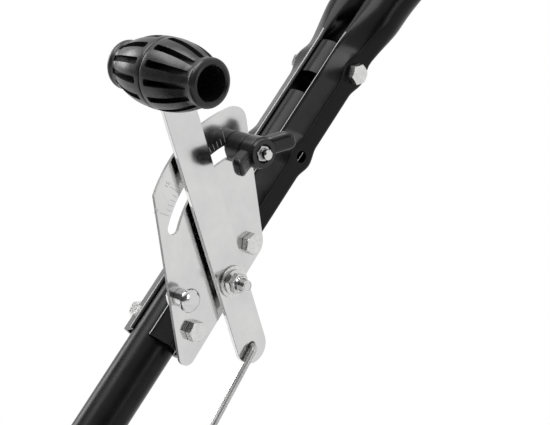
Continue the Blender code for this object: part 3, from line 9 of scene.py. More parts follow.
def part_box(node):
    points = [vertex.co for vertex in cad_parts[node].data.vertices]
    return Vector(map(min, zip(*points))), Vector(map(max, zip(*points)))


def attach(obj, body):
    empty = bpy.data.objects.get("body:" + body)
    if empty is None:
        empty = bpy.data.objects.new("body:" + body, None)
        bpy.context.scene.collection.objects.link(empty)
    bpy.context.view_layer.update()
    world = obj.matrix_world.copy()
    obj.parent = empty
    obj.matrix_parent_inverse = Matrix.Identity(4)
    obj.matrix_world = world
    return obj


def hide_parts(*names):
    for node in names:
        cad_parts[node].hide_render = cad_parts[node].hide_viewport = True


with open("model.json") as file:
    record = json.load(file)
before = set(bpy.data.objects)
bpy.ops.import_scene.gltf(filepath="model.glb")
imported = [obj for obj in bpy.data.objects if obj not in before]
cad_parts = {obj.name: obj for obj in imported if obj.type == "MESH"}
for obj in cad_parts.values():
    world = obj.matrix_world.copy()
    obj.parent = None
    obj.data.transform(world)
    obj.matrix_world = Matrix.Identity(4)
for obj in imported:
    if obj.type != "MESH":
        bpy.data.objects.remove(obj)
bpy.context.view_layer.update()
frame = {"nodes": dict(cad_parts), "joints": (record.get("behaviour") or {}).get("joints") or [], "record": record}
mm = 0.001
joints = {joint["name"]: Vector(joint["pos_m"]) for joint in frame["joints"] if "pos_m" in joint}
print("frame loaded:", len(frame["nodes"]), "nodes")

# The column's own frame: X out to the right, Y up along the column, Z square to it
columnSizes = {
    "tilt": radians(46), "tubeRadius": 15.9 * mm, "tubeWall": 1.6 * mm, "tubeEdge": 0.25 * mm,
    "tubeLow": -530 * mm, "tubeHigh": 143 * mm, "spacerHalf": 13.5 * mm, "boltPitch": 71.5 * mm,
    "firstBolt": -41.5 * mm, "boltHole": 8.6 * mm, "gap": 0.3 * mm,
}
tubeRadius, gap = columnSizes["tubeRadius"], columnSizes["gap"]
holeRadius = columnSizes["boltHole"] / 2
boltAlong = [columnSizes["firstBolt"] + columnSizes["boltPitch"] * i for i in range(4)]
pivotPoint = Vector((0, joints["lever_hinge"].y, joints["lever_hinge"].z))
column = Matrix.Translation(pivotPoint) @ Matrix.Rotation(columnSizes["tilt"], 4, "X")
toColumn = column.inverted()
turnToX = Matrix.Rotation(pi / 2, 4, "Y")
sectionToOut = Matrix(((0, 0, 1, 0), (1, 0, 0, 0), (0, 1, 0, 0), (0, 0, 0, 1)))
plateBack, plateFront = (corner.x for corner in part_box("gauge_plate"))
leverBack, leverFront = (corner.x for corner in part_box("lever"))


# Shapes
def arcPoints(centre, radius, start, end, steps):
    return [(centre[0] + radius * cos(start + (end - start) * i / steps),
             centre[1] + radius * sin(start + (end - start) * i / steps)) for i in range(steps + 1)]


def spun(profile, steps=64, closed=True):
    # a (radius, height) line turned about Z; closed joins its last point to its first
    bm = bmesh.new()
    verts = [bm.verts.new((radius, 0, height)) for radius, height in profile]
    edges = [bm.edges.new(pair) for pair in zip(verts, verts[1:])]
    if closed:
        edges.append(bm.edges.new((verts[-1], verts[0])))
    bmesh.ops.spin(bm, geom=verts + edges, cent=(0, 0, 0), axis=(0, 0, 1), angle=2 * pi,
                   steps=steps, use_merge=True)
    return tidied(bm)


def ring(inner, outer, low, high, steps):
    return spun([(inner, low), (outer, low), (outer, high), (inner, high)], steps)


def disc(radius, low, high, steps):
    return spun([(0, low), (radius, low), (radius, high), (0, high)], steps, closed=False)


def tidied(bm, distance=1e-6):
    bmesh.ops.remove_doubles(bm, verts=bm.verts, dist=distance)
    bmesh.ops.recalc_face_normals(bm, faces=bm.faces)
    return bm


def slab(outline, thick, lift=0.0):
    # a flat outline raised along Z
    bm = bmesh.new()
    face = bm.faces.new([bm.verts.new((x, y, lift)) for x, y in outline])
    raised = bmesh.ops.extrude_face_region(bm, geom=[face])["geom"]
    top = [part for part in raised if isinstance(part, bmesh.types.BMVert)]
    bmesh.ops.translate(bm, verts=top, vec=(0, 0, thick))
    return tidied(bm)


def softenEdges(bm, width, segments=2, sharperThan=radians(30)):
    edges = [edge for edge in bm.edges if edge.is_manifold and edge.calc_face_angle(0) > sharperThan]
    bmesh.ops.bevel(bm, geom=edges, offset=width, offset_type="OFFSET", segments=segments, profile=0.5,
                    affect="EDGES", material=-1, clamp_overlap=True)
    return bm


def placed(bm, place):
    bmesh.ops.transform(bm, matrix=place, verts=bm.verts)
    if place.determinant() < 0:
        bmesh.ops.reverse_faces(bm, faces=bm.faces)
    return bm


def merged(*parts):
    # several solids in one mesh
    whole = bmesh.new()
    for part in parts:
        mesh = bpy.data.meshes.new("part")
        part.to_mesh(mesh)
        part.free()
        whole.from_mesh(mesh)
        bpy.data.meshes.remove(mesh)
    return whole


def asObject(bm):
    mesh = bpy.data.meshes.new("loose")
    bm.to_mesh(mesh)
    bm.free()
    thing = bpy.data.objects.new("loose", mesh)
    bpy.context.scene.collection.objects.link(thing)
    return thing


def carved(bm, tool, operation="DIFFERENCE"):
    solid, cutter = asObject(bm), asObject(tool)
    step = solid.modifiers.new("carve", "BOOLEAN")
    step.operation, step.object, step.solver = operation, cutter, "EXACT"
    shown = solid.evaluated_get(bpy.context.evaluated_depsgraph_get())
    mesh = bpy.data.meshes.new_from_object(shown)
    result = bmesh.new()
    result.from_mesh(mesh)
    bpy.data.objects.remove(solid)
    bpy.data.objects.remove(cutter)
    bpy.data.meshes.remove(mesh)
    return tidied(result)


def roundHole(place, radius, length, steps=48):
    # a cutter centred on the place's origin, along its Z
    bm = bmesh.new()
    bmesh.ops.create_cone(bm, cap_ends=True, segments=steps, radius1=radius, radius2=radius,
                          depth=length, matrix=place)
    return bm


def box(low, high, place):
    low, high = Vector(low), Vector(high)
    bm = bmesh.new()
    grow = Matrix.Translation((low + high) / 2) @ Matrix.Diagonal((*(high - low), 1))
    bmesh.ops.create_cube(bm, size=1, matrix=place @ grow)
    return bm


def hexagon(acrossFlats, tall, bothEnds=False):
    # a prism whose corners are turned away by a cone, as on a bolt head
    half = acrossFlats / 2
    corner = half / cos(pi / 6)
    flat, wide = half * 0.97, corner + 1 * mm
    turnedDown = (corner - half) * 0.62 * (wide - flat) / (corner - flat)
    bm = bmesh.new()
    bmesh.ops.create_cone(bm, cap_ends=True, segments=6, radius1=corner, radius2=corner, depth=tall,
                          matrix=Matrix.Translation((0, 0, tall / 2)))
    below = [(0, 0), (flat, 0), (wide, turnedDown)] if bothEnds else [(0, -mm), (wide, -mm)]
    above = [(wide, tall - turnedDown), (flat, tall), (0, tall)]
    cone = spun(below + above, 48, closed=False)
    return softenEdges(carved(bm, cone, "INTERSECT"), 0.12 * mm, 1)


def thread(radius, pitch, start, end, depth=0.075):
    # one helical ridge turned up along Z and cut square at both ends
    perTurn = 28
    turns = int((end - start) / pitch) + 3
    root = radius * (1 - 2 * depth)
    shape = [(root, 0), (root, 0.12), (radius, 0.44), (radius, 0.56), (root, 0.88), (root, 1)]
    bm = bmesh.new()
    verts = [bm.verts.new((r, 0, start + (height - 1.5) * pitch)) for r, height in shape]
    edges = [bm.edges.new(pair) for pair in zip(verts, verts[1:])]
    bmesh.ops.spin(bm, geom=verts + edges, cent=(0, 0, 0), axis=(0, 0, 1), dvec=(0, 0, pitch / perTurn),
                   angle=2 * pi * turns, steps=perTurn * turns, use_merge=False)
    bmesh.ops.remove_doubles(bm, verts=bm.verts, dist=2e-6)
    for height, outside in ((start, (0, 0, -1)), (end, (0, 0, 1))):
        whole = bm.verts[:] + bm.edges[:] + bm.faces[:]
        cut = bmesh.ops.bisect_plane(bm, geom=whole, plane_co=(0, 0, height), plane_no=outside,
                                     clear_outer=True)
        rim = [part for part in cut["geom_cut"] if isinstance(part, bmesh.types.BMEdge)]
        bmesh.ops.contextual_create(bm, geom=rim)
    bmesh.ops.recalc_face_normals(bm, faces=bm.faces)
    return bm


def tubeAlong(path, radius, steps):
    # rings carried along a path and joined one to the next
    bm = bmesh.new()
    side = Vector((1, 0, 0)) if abs((path[1] - path[0]).normalized().x) < 0.9 else Vector((0, 0, 1))
    rings = []
    for i, point in enumerate(path):
        ahead = (path[min(i + 1, len(path) - 1)] - path[max(i - 1, 0)]).normalized()
        side = (side - ahead * side.dot(ahead)).normalized()
        turn = Matrix((side, ahead.cross(side), ahead)).transposed().to_4x4()
        made = bmesh.ops.create_circle(bm, cap_ends=False, segments=steps, radius=radius,
                                       matrix=Matrix.Translation(point) @ turn)
        rings.append(list({edge for vert in made["verts"] for edge in vert.link_edges}))
    for first, second in zip(rings, rings[1:]):
        bmesh.ops.bridge_loops(bm, edges=first + second)
    for ring in (rings[0], rings[-1]):
        bmesh.ops.contextual_create(bm, geom=ring)
    return tidied(bm)


def roundedPath(points, radii, steps=10):
    # each inner corner of a line of points becomes an arc
    path = [points[0]]
    for before, corner, after, bend in zip(points, points[1:], points[2:], radii):
        arrive, leave = (corner - before).normalized(), (after - corner).normalized()
        sweep = arrive.angle(leave)
        centre = corner + (leave - arrive).normalized() * bend / cos(sweep / 2)
        first = corner - arrive * bend * sin(sweep / 2) / cos(sweep / 2) - centre
        axle = arrive.cross(leave).normalized()
        path += [centre + Matrix.Rotation(sweep * i / steps, 3, axle) @ first for i in range(steps + 1)]
    return path + [points[-1]]


def finished(name, bm, finish, body, replaced=(), sharp=radians(34), weighted=True):
    # the mesh becomes a piece that rides on a body and stands for CAD nodes
    mesh = bpy.data.meshes.new(name)
    bm.to_mesh(mesh)
    bm.free()
    mesh.shade_smooth()
    mesh.set_sharp_from_angle(angle=sharp)
    piece = bpy.data.objects.new(name, mesh)
    bpy.context.scene.collection.objects.link(piece)
    mesh.materials.append(look[finish])
    if weighted:
        piece.modifiers.new("evenShading", "WEIGHTED_NORMAL").keep_sharp = True
    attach(piece, body)
    if replaced:
        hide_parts(*replaced)
    return piece


def standIn(node, bm, finish, body, sharp=radians(34)):
    # a finished piece that takes the place of one CAD node
    return finished(node + "_finished", bm, finish, body, (node,), sharp)


def softenedCopy(node, finish, body, width):
    # the CAD node's own shape, merged, with its sharp edges rounded off
    bm = bmesh.new()
    bm.from_mesh(frame["nodes"][node].data)
    tidied(bm, 2e-6)
    flat = [edge for edge in bm.edges if edge.is_manifold and edge.calc_face_angle(0) < radians(0.6)]
    bmesh.ops.dissolve_edges(bm, edges=flat, use_verts=False, use_face_split=False)
    straight = [vert for vert in bm.verts if len(vert.link_edges) == 2]
    bmesh.ops.dissolve_verts(bm, verts=straight, use_face_split=False, use_boundary_tear=False)
    return standIn(node, softenEdges(bm, width, 2, radians(40)), finish, body)


# Shader groups, each built once
def addNode(nodes, kind, values=None, operation=None):
    node = nodes.new("ShaderNode" + kind)
    if operation:
        node.operation = operation
    for socket, value in (values or {}).items():
        node.inputs[socket].default_value = value
    return node


def wire(links, *pairs):
    for source, target in pairs:
        links.new(source, target)


def newGroup(name, inputs, output):
    # the pattern's place comes first, then the group's own values
    group = bpy.data.node_groups.new(name, "ShaderNodeTree")
    group.interface.new_socket("Vector", in_out="INPUT", socket_type="NodeSocketVector")
    for socketName, value in inputs.items():
        kind = "NodeSocketVector" if isinstance(value, tuple) else "NodeSocketFloat"
        group.interface.new_socket(socketName, in_out="INPUT", socket_type=kind).default_value = value
    group.interface.new_socket(output, in_out="OUTPUT", socket_type="NodeSocketFloat")
    nodes = group.nodes
    return group, nodes, group.links, nodes.new("NodeGroupInput"), nodes.new("NodeGroupOutput")


def placeNoise(nodes, links, given, values):
    noise = addNode(nodes, "TexNoise", values)
    wire(links, (given.outputs["Vector"], noise.inputs["Vector"]),
         (given.outputs["Scale"], noise.inputs["Scale"]))
    return noise.outputs["Fac"]


def makeMottle():
    # slow cloudy change between two values
    group, nodes, links, given, put = newGroup("mottle", {"Scale": 20.0, "Low": 0.0, "High": 1.0}, "Value")
    clouds = placeNoise(nodes, links, given, {"Detail": 5.0, "Roughness": 0.6})
    spread = addNode(nodes, "MapRange", {"From Min": 0.32, "From Max": 0.68})
    wire(links, (clouds, spread.inputs["Value"]), (given.outputs["Low"], spread.inputs["To Min"]),
         (given.outputs["High"], spread.inputs["To Max"]), (spread.outputs["Result"], put.inputs["Value"]))
    return group


def makeGrain():
    # fine relief, drawn out along one axis by its stretch
    inputs = {"Stretch": (1.0, 1.0, 1.0), "Scale": 900.0}
    group, nodes, links, given, put = newGroup("grain", inputs, "Height")
    longer = addNode(nodes, "VectorMath", operation="MULTIPLY")
    noise = addNode(nodes, "TexNoise", {"Detail": 3.0})
    wire(links, (given.outputs["Vector"], longer.inputs[0]), (given.outputs["Stretch"], longer.inputs[1]),
         (longer.outputs["Vector"], noise.inputs["Vector"]), (given.outputs["Scale"], noise.inputs["Scale"]),
         (noise.outputs["Fac"], put.inputs["Height"]))
    return group


def makeMask(name, inputs, source, reach, noise, patches):
    # a share of the surface, picked by what source gives and broken up by a noise
    group, nodes, links, given, put = newGroup(name, inputs, "Mask")
    picked, broken = addNode(nodes, "MapRange", reach), addNode(nodes, "MapRange", patches)
    both = addNode(nodes, "Math", operation="MULTIPLY")
    share = addNode(nodes, "Math", operation="MULTIPLY")
    share.use_clamp = True
    wire(links, (source(nodes, links), picked.inputs["Value"]),
         (placeNoise(nodes, links, given, noise), broken.inputs["Value"]),
         (picked.outputs["Result"], both.inputs[0]), (broken.outputs["Result"], both.inputs[1]),
         (both.outputs["Value"], share.inputs[0]), (given.outputs["Amount"], share.inputs[1]),
         (share.outputs["Value"], put.inputs["Mask"]))
    return group


def corners(nodes, links):
    return addNode(nodes, "NewGeometry").outputs["Pointiness"]


def upFacing(nodes, links):
    parts = addNode(nodes, "SeparateXYZ")
    wire(links, (addNode(nodes, "NewGeometry").outputs["Normal"], parts.inputs["Vector"]))
    return parts.outputs["Z"]


mottle, grain = makeMottle(), makeGrain()
edgeRub = makeMask("edgeRub", {"Scale": 120.0, "Amount": 0.5}, corners, {"From Min": 0.53, "From Max": 0.64},
                   {"Detail": 4.0}, {"From Min": 0.42, "From Max": 0.62})
settledDust = makeMask("settledDust", {"Scale": 40.0, "Amount": 0.2}, upFacing,
                       {"From Min": -0.1, "From Max": 0.9}, {"Detail": 6.0, "Roughness": 0.7},
                       {"From Min": 0.4, "From Max": 0.75})

# Finishes: dark and light are the colours a surface drifts between, rough its lowest and highest roughness
finishes = {
    "blackPowderCoat": {
        "dark": (0.004, 0.004, 0.0045), "light": (0.007, 0.007, 0.0075), "rough": (0.20, 0.30), "cloud": 14.0,
        "grain": 620.0, "relief": 0.08, "specular": 0.12, "worn": (0.06, 0.06, 0.06),
        "wear": 0.25, "dust": 0.01},
    "zincSheet": {
        "dark": (0.59, 0.59, 0.59), "light": (0.66, 0.66, 0.655), "rough": (0.12, 0.18), "metal": 1.0,
        "cloud": 34.0, "grain": 420.0, "stretch": (1.0, 0.25, 1.0), "relief": 0.03,
        "worn": (0.55, 0.55, 0.55), "wear": 0.5, "dust": 0.0},
    "zincFastener": {
        "dark": (0.58, 0.58, 0.575), "light": (0.70, 0.70, 0.69), "rough": (0.20, 0.34), "metal": 1.0,
        "cloud": 260.0, "grain": 1500.0, "relief": 0.08, "worn": (0.5, 0.5, 0.5), "wear": 0.6, "dust": 0.0},
    "wireZinc": {
        "dark": (0.40, 0.40, 0.40), "light": (0.52, 0.52, 0.515), "rough": (0.34, 0.44), "metal": 1.0,
        "cloud": 80.0, "grain": 300.0, "relief": 0.0, "worn": (0.4, 0.4, 0.4), "wear": 0.2, "dust": 0.0},
    # bare cut edges of the gauge plate, and the painted highlight along the handle's lips
    "bareEdgeAndPaintedGlint": {
        "dark": (0.34, 0.34, 0.34), "light": (0.44, 0.44, 0.435), "rough": (0.42, 0.52), "cloud": 120.0,
        "grain": 900.0, "relief": 0.05, "specular": 0.5, "worn": (0.5, 0.5, 0.5), "wear": 0.2, "dust": 0.0},
    "drawnSteel": {
        "dark": (0.46, 0.46, 0.455), "light": (0.60, 0.60, 0.59), "rough": (0.20, 0.34), "metal": 1.0,
        "cloud": 60.0, "grain": 900.0, "stretch": (1.0, 0.06, 0.06), "relief": 0.06,
        "worn": (0.30, 0.30, 0.30), "wear": 0.4, "dust": 0.04},
    "gripPlastic": {
        "dark": (0.012, 0.012, 0.0125), "light": (0.018, 0.018, 0.0185), "rough": (0.24, 0.34), "cloud": 90.0,
        "grain": 1500.0, "relief": 0.08, "specular": 0.36, "worn": (0.06, 0.06, 0.06),
        "wear": 0.25, "dust": 0.01},
    "greyPlastic": {
        "dark": (0.070, 0.070, 0.073), "light": (0.10, 0.10, 0.103), "rough": (0.42, 0.56), "cloud": 18.0,
        "grain": 900.0, "relief": 0.22, "specular": 0.45, "worn": (0.24, 0.24, 0.24),
        "wear": 0.4, "dust": 0.16},
    "hopperPlastic": {
        "dark": (0.022, 0.023, 0.025), "light": (0.034, 0.035, 0.037), "rough": (0.36, 0.50), "cloud": 9.0,
        "grain": 700.0, "relief": 0.25, "specular": 0.45, "worn": (0.12, 0.12, 0.12),
        "wear": 0.4, "dust": 0.14},
    "nylon": {
        "dark": (0.50, 0.49, 0.45), "light": (0.60, 0.59, 0.55), "rough": (0.38, 0.5), "cloud": 120.0,
        "grain": 1200.0, "relief": 0.12, "specular": 0.5, "worn": (0.3, 0.29, 0.27),
        "wear": 0.3, "dust": 0.05},
    "softRubber": {
        "dark": (0.012, 0.012, 0.012), "light": (0.024, 0.024, 0.025), "rough": (0.62, 0.80), "cloud": 40.0,
        "grain": 1300.0, "relief": 0.5, "specular": 0.3, "worn": (0.08, 0.08, 0.08),
        "wear": 0.4, "dust": 0.15},
    "tyreRubber": {
        "dark": (0.014, 0.014, 0.0145), "light": (0.030, 0.030, 0.031), "rough": (0.66, 0.86), "cloud": 22.0,
        "grain": 1000.0, "relief": 0.45, "specular": 0.3, "worn": (0.11, 0.105, 0.10),
        "wear": 0.9, "dust": 0.25},
    "scaleMark": {
        "dark": (0.50, 0.50, 0.50), "light": (0.60, 0.60, 0.60), "rough": (0.55, 0.7), "cloud": 300.0,
        "grain": 2500.0, "relief": 0.1, "specular": 0.4, "worn": (0.4, 0.4, 0.4), "wear": 0.0, "dust": 0.0},
}
ageing = {
    "rubScale": 6, "dustScale": 2, "roughScale": 3.1, "rubbedRougher": 0.12, "roughest": 0.95,
    "dustRough": 0.9, "dustColour": (0.30, 0.29, 0.27), "grainDeep": 0.1 * mm,
}


def makeFinish(name, finish):
    material = bpy.data.materials.new(name)
    material.use_nodes = True
    nodes, links = material.node_tree.nodes, material.node_tree.links
    shader = nodes["Principled BSDF"]
    coordinates = addNode(nodes, "TexCoord").outputs["Object"]

    def placeGroup(group, **values):
        node = addNode(nodes, "Group")
        node.node_tree = group
        links.new(coordinates, node.inputs["Vector"])
        for socket, value in values.items():
            node.inputs[socket].default_value = value
        return node.outputs[0]

    def blended(kind, share, first, second):
        node = addNode(nodes, "Mix")
        node.data_type = kind
        at = {"RGBA": (6, 7, 2), "FLOAT": (2, 3, 0)}[kind]
        links.new(share, node.inputs[0])
        for socket, value in zip(at, (first, second)):
            if isinstance(value, bpy.types.NodeSocket):
                links.new(value, node.inputs[socket])
            else:
                node.inputs[socket].default_value = (*value, 1) if kind == "RGBA" else value
        return node.outputs[at[2]]

    low, high = finish["rough"]
    clouds = placeGroup(mottle, Scale=finish["cloud"], Low=0.0, High=1.0)
    rubbed = placeGroup(edgeRub, Scale=finish["cloud"] * ageing["rubScale"], Amount=finish["wear"])
    dusty = placeGroup(settledDust, Scale=finish["cloud"] * ageing["dustScale"], Amount=finish["dust"])
    roughness = placeGroup(mottle, Scale=finish["cloud"] * ageing["roughScale"], Low=low, High=high)
    height = placeGroup(grain, Scale=finish["grain"], Stretch=finish.get("stretch", (1.0, 1.0, 1.0)))
    colour = blended("RGBA", clouds, finish["dark"], finish["light"])
    colour = blended("RGBA", rubbed, colour, finish["worn"])
    colour = blended("RGBA", dusty, colour, ageing["dustColour"])
    rougher = min(high + ageing["rubbedRougher"], ageing["roughest"])
    roughness = blended("FLOAT", rubbed, roughness, rougher)
    roughness = blended("FLOAT", dusty, roughness, ageing["dustRough"])
    shader.inputs["Metallic"].default_value = finish.get("metal", 0.0)
    shader.inputs["Specular IOR Level"].default_value = finish.get("specular", 0.5)
    relief = addNode(nodes, "Bump", {"Strength": finish["relief"], "Distance": ageing["grainDeep"]})
    wire(links, (colour, shader.inputs["Base Color"]), (roughness, shader.inputs["Roughness"]),
         (height, relief.inputs["Height"]), (relief.outputs["Normal"], shader.inputs["Normal"]))
    return material


look = {name: makeFinish(name, finish) for name, finish in finishes.items()}
print("finishes made:", len(look))


# Gauge plate with its curved slot; the arc comes in by arcFall towards its left corner
gaugePlate = {
    "arc": 96.8 * mm, "arcFall": 3.4 * mm, "right": 12.2 * mm, "tip": 7.0 * mm, "corner": 11.0 * mm,
    "slant": radians(53.6), "slotRadius": 69.2 * mm, "slotWidth": 9.3 * mm, "slotStart": radians(51),
    "slotEnd": radians(115.5), "tipPlace": (-56.9 * mm, -7.8 * mm), "tipEnd": radians(268),
    "closedStop": (-31.0 * mm, 25.5 * mm), "edge": 0.35 * mm, "arcSteps": 48,
}


def gaugeOutline(plate):
    bolt, slant, corner = (boltAlong[1], 0.0), plate["slant"], plate["corner"]
    out, leftOut = slant - pi / 2, slant + pi / 2
    step = plate["right"] - corner
    reach = sqrt((plate["arc"] - corner) ** 2 - step ** 2)
    cornerAt = (bolt[0] + reach * cos(slant) + step * cos(out),
                bolt[1] + reach * sin(slant) + step * sin(out))
    aim = atan2(cornerAt[1] - bolt[1], cornerAt[0] - bolt[0])
    tip, steps = plate["tipPlace"], plate["arcSteps"]
    side = (tip[0] - bolt[0]) * cos(leftOut) + (tip[1] - bolt[1]) * sin(leftOut) + plate["tip"]
    points = arcPoints(bolt, plate["right"], -pi / 2, out, 12) + arcPoints(cornerAt, corner, out, aim, 16)
    last = leftOut - acos(side / (plate["arc"] - plate["arcFall"]))
    for i in range(1, steps + 1):
        turn, radius = aim + (last - aim) * i / steps, plate["arc"] - plate["arcFall"] * (i / steps) ** 2
        points.append((bolt[0] + radius * cos(turn), bolt[1] + radius * sin(turn)))
    return points + arcPoints(tip, plate["tip"], leftOut, plate["tipEnd"], 14)


def slotOutline(plate):
    bolt, radius, half = (boltAlong[1], 0.0), plate["slotRadius"], plate["slotWidth"] / 2
    start, end, steps = plate["slotStart"], plate["slotEnd"], plate["arcSteps"]
    startAt, endAt = ((bolt[0] + radius * cos(turn), radius * sin(turn)) for turn in (start, end))
    points = arcPoints(bolt, radius + half, start, end, steps)
    points += arcPoints(endAt, half, end, end + pi, 14)[1:-1]
    points += arcPoints(bolt, radius - half, end, start, steps)
    return points + arcPoints(startAt, half, start - pi, start, 14)[1:-1]


def makeGaugePlate(plate):
    lift, thick = plateBack, plateFront - plateBack
    tools = [slab(slotOutline(plate), thick + 4 * mm, lift - 2 * mm)]
    for along, up in [(boltAlong[0], 0), (boltAlong[1], 0), (0, 0), plate["closedStop"]]:
        tools.append(roundHole(Matrix.Translation((along, up, lift)), holeRadius, 12 * mm))
    bm = carved(slab(gaugeOutline(plate), thick, lift), merged(*tools))
    placed(softenEdges(bm, plate["edge"]), column @ sectionToOut)
    for face in bm.faces:
        face.material_index = int(abs(face.normal.x) < 0.5)    # the cut edges are bare
    piece = standIn("gauge_plate", bm, "zincSheet", "frame")
    piece.data.materials.append(look["bareEdgeAndPaintedGlint"])


makeGaugePlate(gaugePlate)

# Scale: plain numbers and ticks stamped beside the slot
gaugeScale = {
    "first": radians(60), "step": radians(2.5), "numbers": ("30", "25", "20", "15", "10"), "ticksBetween": 5,
    "tickFrom": 75.2 * mm, "shortTo": 79.5 * mm, "longTo": 84.2 * mm, "tickWidth": 0.34 * mm,
    "numberAt": 87.3 * mm, "numberTall": 4.3 * mm, "thinner": 0.02 * mm, "proud": 0.05 * mm,
}


def makeGaugeScale(scale):
    parts = []
    half, proud = scale["tickWidth"] / 2, scale["proud"]
    last = (len(scale["numbers"]) - 1) * scale["ticksBetween"]

    def standAt(i):
        turn = Matrix.Rotation(scale["first"] + scale["step"] * i, 4, "Z")
        return Matrix.Translation((boltAlong[1], 0, plateFront)) @ turn

    for i in range(last + 1):
        reach = scale["longTo"] if i % scale["ticksBetween"] == 0 else scale["shortTo"]
        parts.append(box((scale["tickFrom"], -half, -proud), (reach, half, proud), standAt(i)))
    upright = Matrix.Translation((scale["numberAt"], 0, 0)) @ Matrix.Rotation(-pi / 2, 4, "Z")
    for i, number in enumerate(scale["numbers"]):
        letters = bpy.data.curves.new("number", "FONT")
        letters.body, letters.size, letters.extrude = number, scale["numberTall"], proud
        letters.align_x, letters.align_y, letters.resolution_u = "CENTER", "CENTER", 6
        letters.offset = -scale["thinner"]
        sign = bpy.data.objects.new("number", letters)
        bpy.context.scene.collection.objects.link(sign)
        bpy.context.view_layer.update()
        mesh = bpy.data.meshes.new_from_object(sign.evaluated_get(bpy.context.evaluated_depsgraph_get()))
        bm = bmesh.new()
        bm.from_mesh(mesh)
        parts.append(placed(bm, standAt(scale["ticksBetween"] * i) @ upright))
        bpy.data.objects.remove(sign)
    bm = placed(tidied(merged(*parts), 1e-7), column @ sectionToOut)
    finished("gauge_scale", bm, "scaleMark", "frame", weighted=False)


makeGaugeScale(gaugeScale)
print("gauge plate and scale done")


# Lever: flat bar with a round lower end
lever = {
    "lean": radians(63.3), "width": 25.4 * mm, "thick": leverFront - leverBack, "top": 169.0 * mm,
    "corner": 4 * mm, "rodArm": 51.8 * mm, "rodHole": 5.96 * mm, "edge": 0.55 * mm,
}
leverTurn = column @ Matrix.Rotation(lever["lean"] - pi / 2, 4, "X")
rodHole = Vector((0, cos(lever["lean"]), sin(lever["lean"]))) * -lever["rodArm"]


def makeLever(bar):
    half, top, corner = bar["width"] / 2, bar["top"], bar["corner"]
    outline = arcPoints((half - corner, top - corner), corner, 0, pi / 2, 8)
    outline += arcPoints((corner - half, top - corner), corner, pi / 2, pi, 8)
    outline += arcPoints((0, -bar["rodArm"]), half, pi, 2 * pi, 48)
    tools = [roundHole(Matrix.Identity(4), holeRadius, 20 * mm),
             roundHole(Matrix.Translation((0, -bar["rodArm"], 0)), bar["rodHole"] / 2, 20 * mm)]
    bm = softenEdges(carved(slab(outline, bar["thick"]), merged(*tools)), bar["edge"], 3)
    place = leverTurn @ Matrix.Translation((leverBack, 0, 0)) @ sectionToOut
    standIn("lever", placed(bm, place), "zincSheet", "lever")


makeLever(lever)

# Lever grip: two moulded halves with twelve slots each and a rolled collar
leverGrip = {
    "reach": 156.6 * mm, "length": 89.0 * mm, "radius": 24.0 * mm, "endRadius": 16.4 * mm, "bore": 11.6 * mm,
    "boreEdge": 1.2 * mm, "neck": 9.0 * mm, "lip": 3.7 * mm, "slots": 12, "slotWidth": 4.9 * mm,
    "slotCorner": 1.5 * mm, "slotFloor": 15.0 * mm, "slotFrom": 4.4 * mm, "slotTo": 37.0 * mm,
    "seam": 0.9 * mm, "edge": 0.55 * mm, "steps": 120,
}


def gripLine(grip):
    # the outline of one half, from the seam over the belly and the collar back to the bore
    half, radius, end = grip["length"] / 2, grip["radius"], grip["endRadius"]
    lip, bore, neck = grip["lip"], grip["bore"], half - grip["neck"]
    start, low = gap / 2 + 1.0 * mm, end - 0.4 * mm
    line = [(radius - grip["seam"], gap / 2), (radius - 0.35 * mm, gap / 2 + 0.25 * mm), (radius, start)]
    for share in [i / 14 for i in range(1, 15)]:
        line.append((low + (radius - low) * (1 - share ** 2.1), start + (neck - 1.0 * mm) * share))
    line += arcPoints((end - lip, half - lip), lip, radians(-28), radians(90), 12)
    return line + [(bore + grip["boreEdge"], half), (bore, half - grip["boreEdge"]), (bore, gap / 2)]


def slotCutter(grip, i):
    half, low, high, corner = grip["slotWidth"] / 2, grip["slotFrom"], grip["slotTo"], grip["slotCorner"]
    shape = arcPoints((low + corner, half - corner), corner, pi / 2, pi, 5)
    shape += arcPoints((low + corner, corner - half), corner, pi, 1.5 * pi, 5)
    shape += [(high, -half * 0.8), (high, half * 0.8)]
    around = Matrix.Rotation(2 * pi * (i + 0.5) / grip["slots"], 4, "Z")
    lie = Matrix(((0, 0, 1, 0), (0, 1, 0, 0), (1, 0, 0, 0), (0, 0, 0, 1)))
    return placed(slab(shape, 14 * mm, grip["slotFloor"]), around @ lie)


def makeLeverGrip(grip):
    gripAt = leverTurn @ Matrix.Translation((leverBack + lever["thick"] / 2, 0, grip["reach"]))
    wide, thick = lever["width"] / 2 + gap, lever["thick"] / 2 + gap
    top = lever["top"] - grip["reach"] + gap
    for node, side in (("lever_grip_inner", -1), ("lever_grip_outer", 1)):
        turned = Matrix.Rotation(side * pi / 2, 4, "Y")
        cuts = [box((-thick, -wide, -60 * mm), (thick, wide, top), turned.inverted())]
        cuts += [slotCutter(grip, i) for i in range(grip["slots"])]
        bm = carved(spun(gripLine(grip), grip["steps"]), merged(*cuts))
        softenEdges(bm, grip["edge"], 3, radians(35))
        standIn(node, placed(bm, gripAt @ turned), "gripPlastic", "lever")


makeLeverGrip(leverGrip)
print("lever and grip done")


# Fasteners
fasteners = {
    "boltFlats": 13.0 * mm, "boltHead": 5.3 * mm, "boltSize": 8.0 * mm, "boltPitch": 1.25 * mm,
    "nutTall": 6.8 * mm, "pastNut": 2.0 * mm,
}
boltRadius = fasteners["boltSize"] / 2


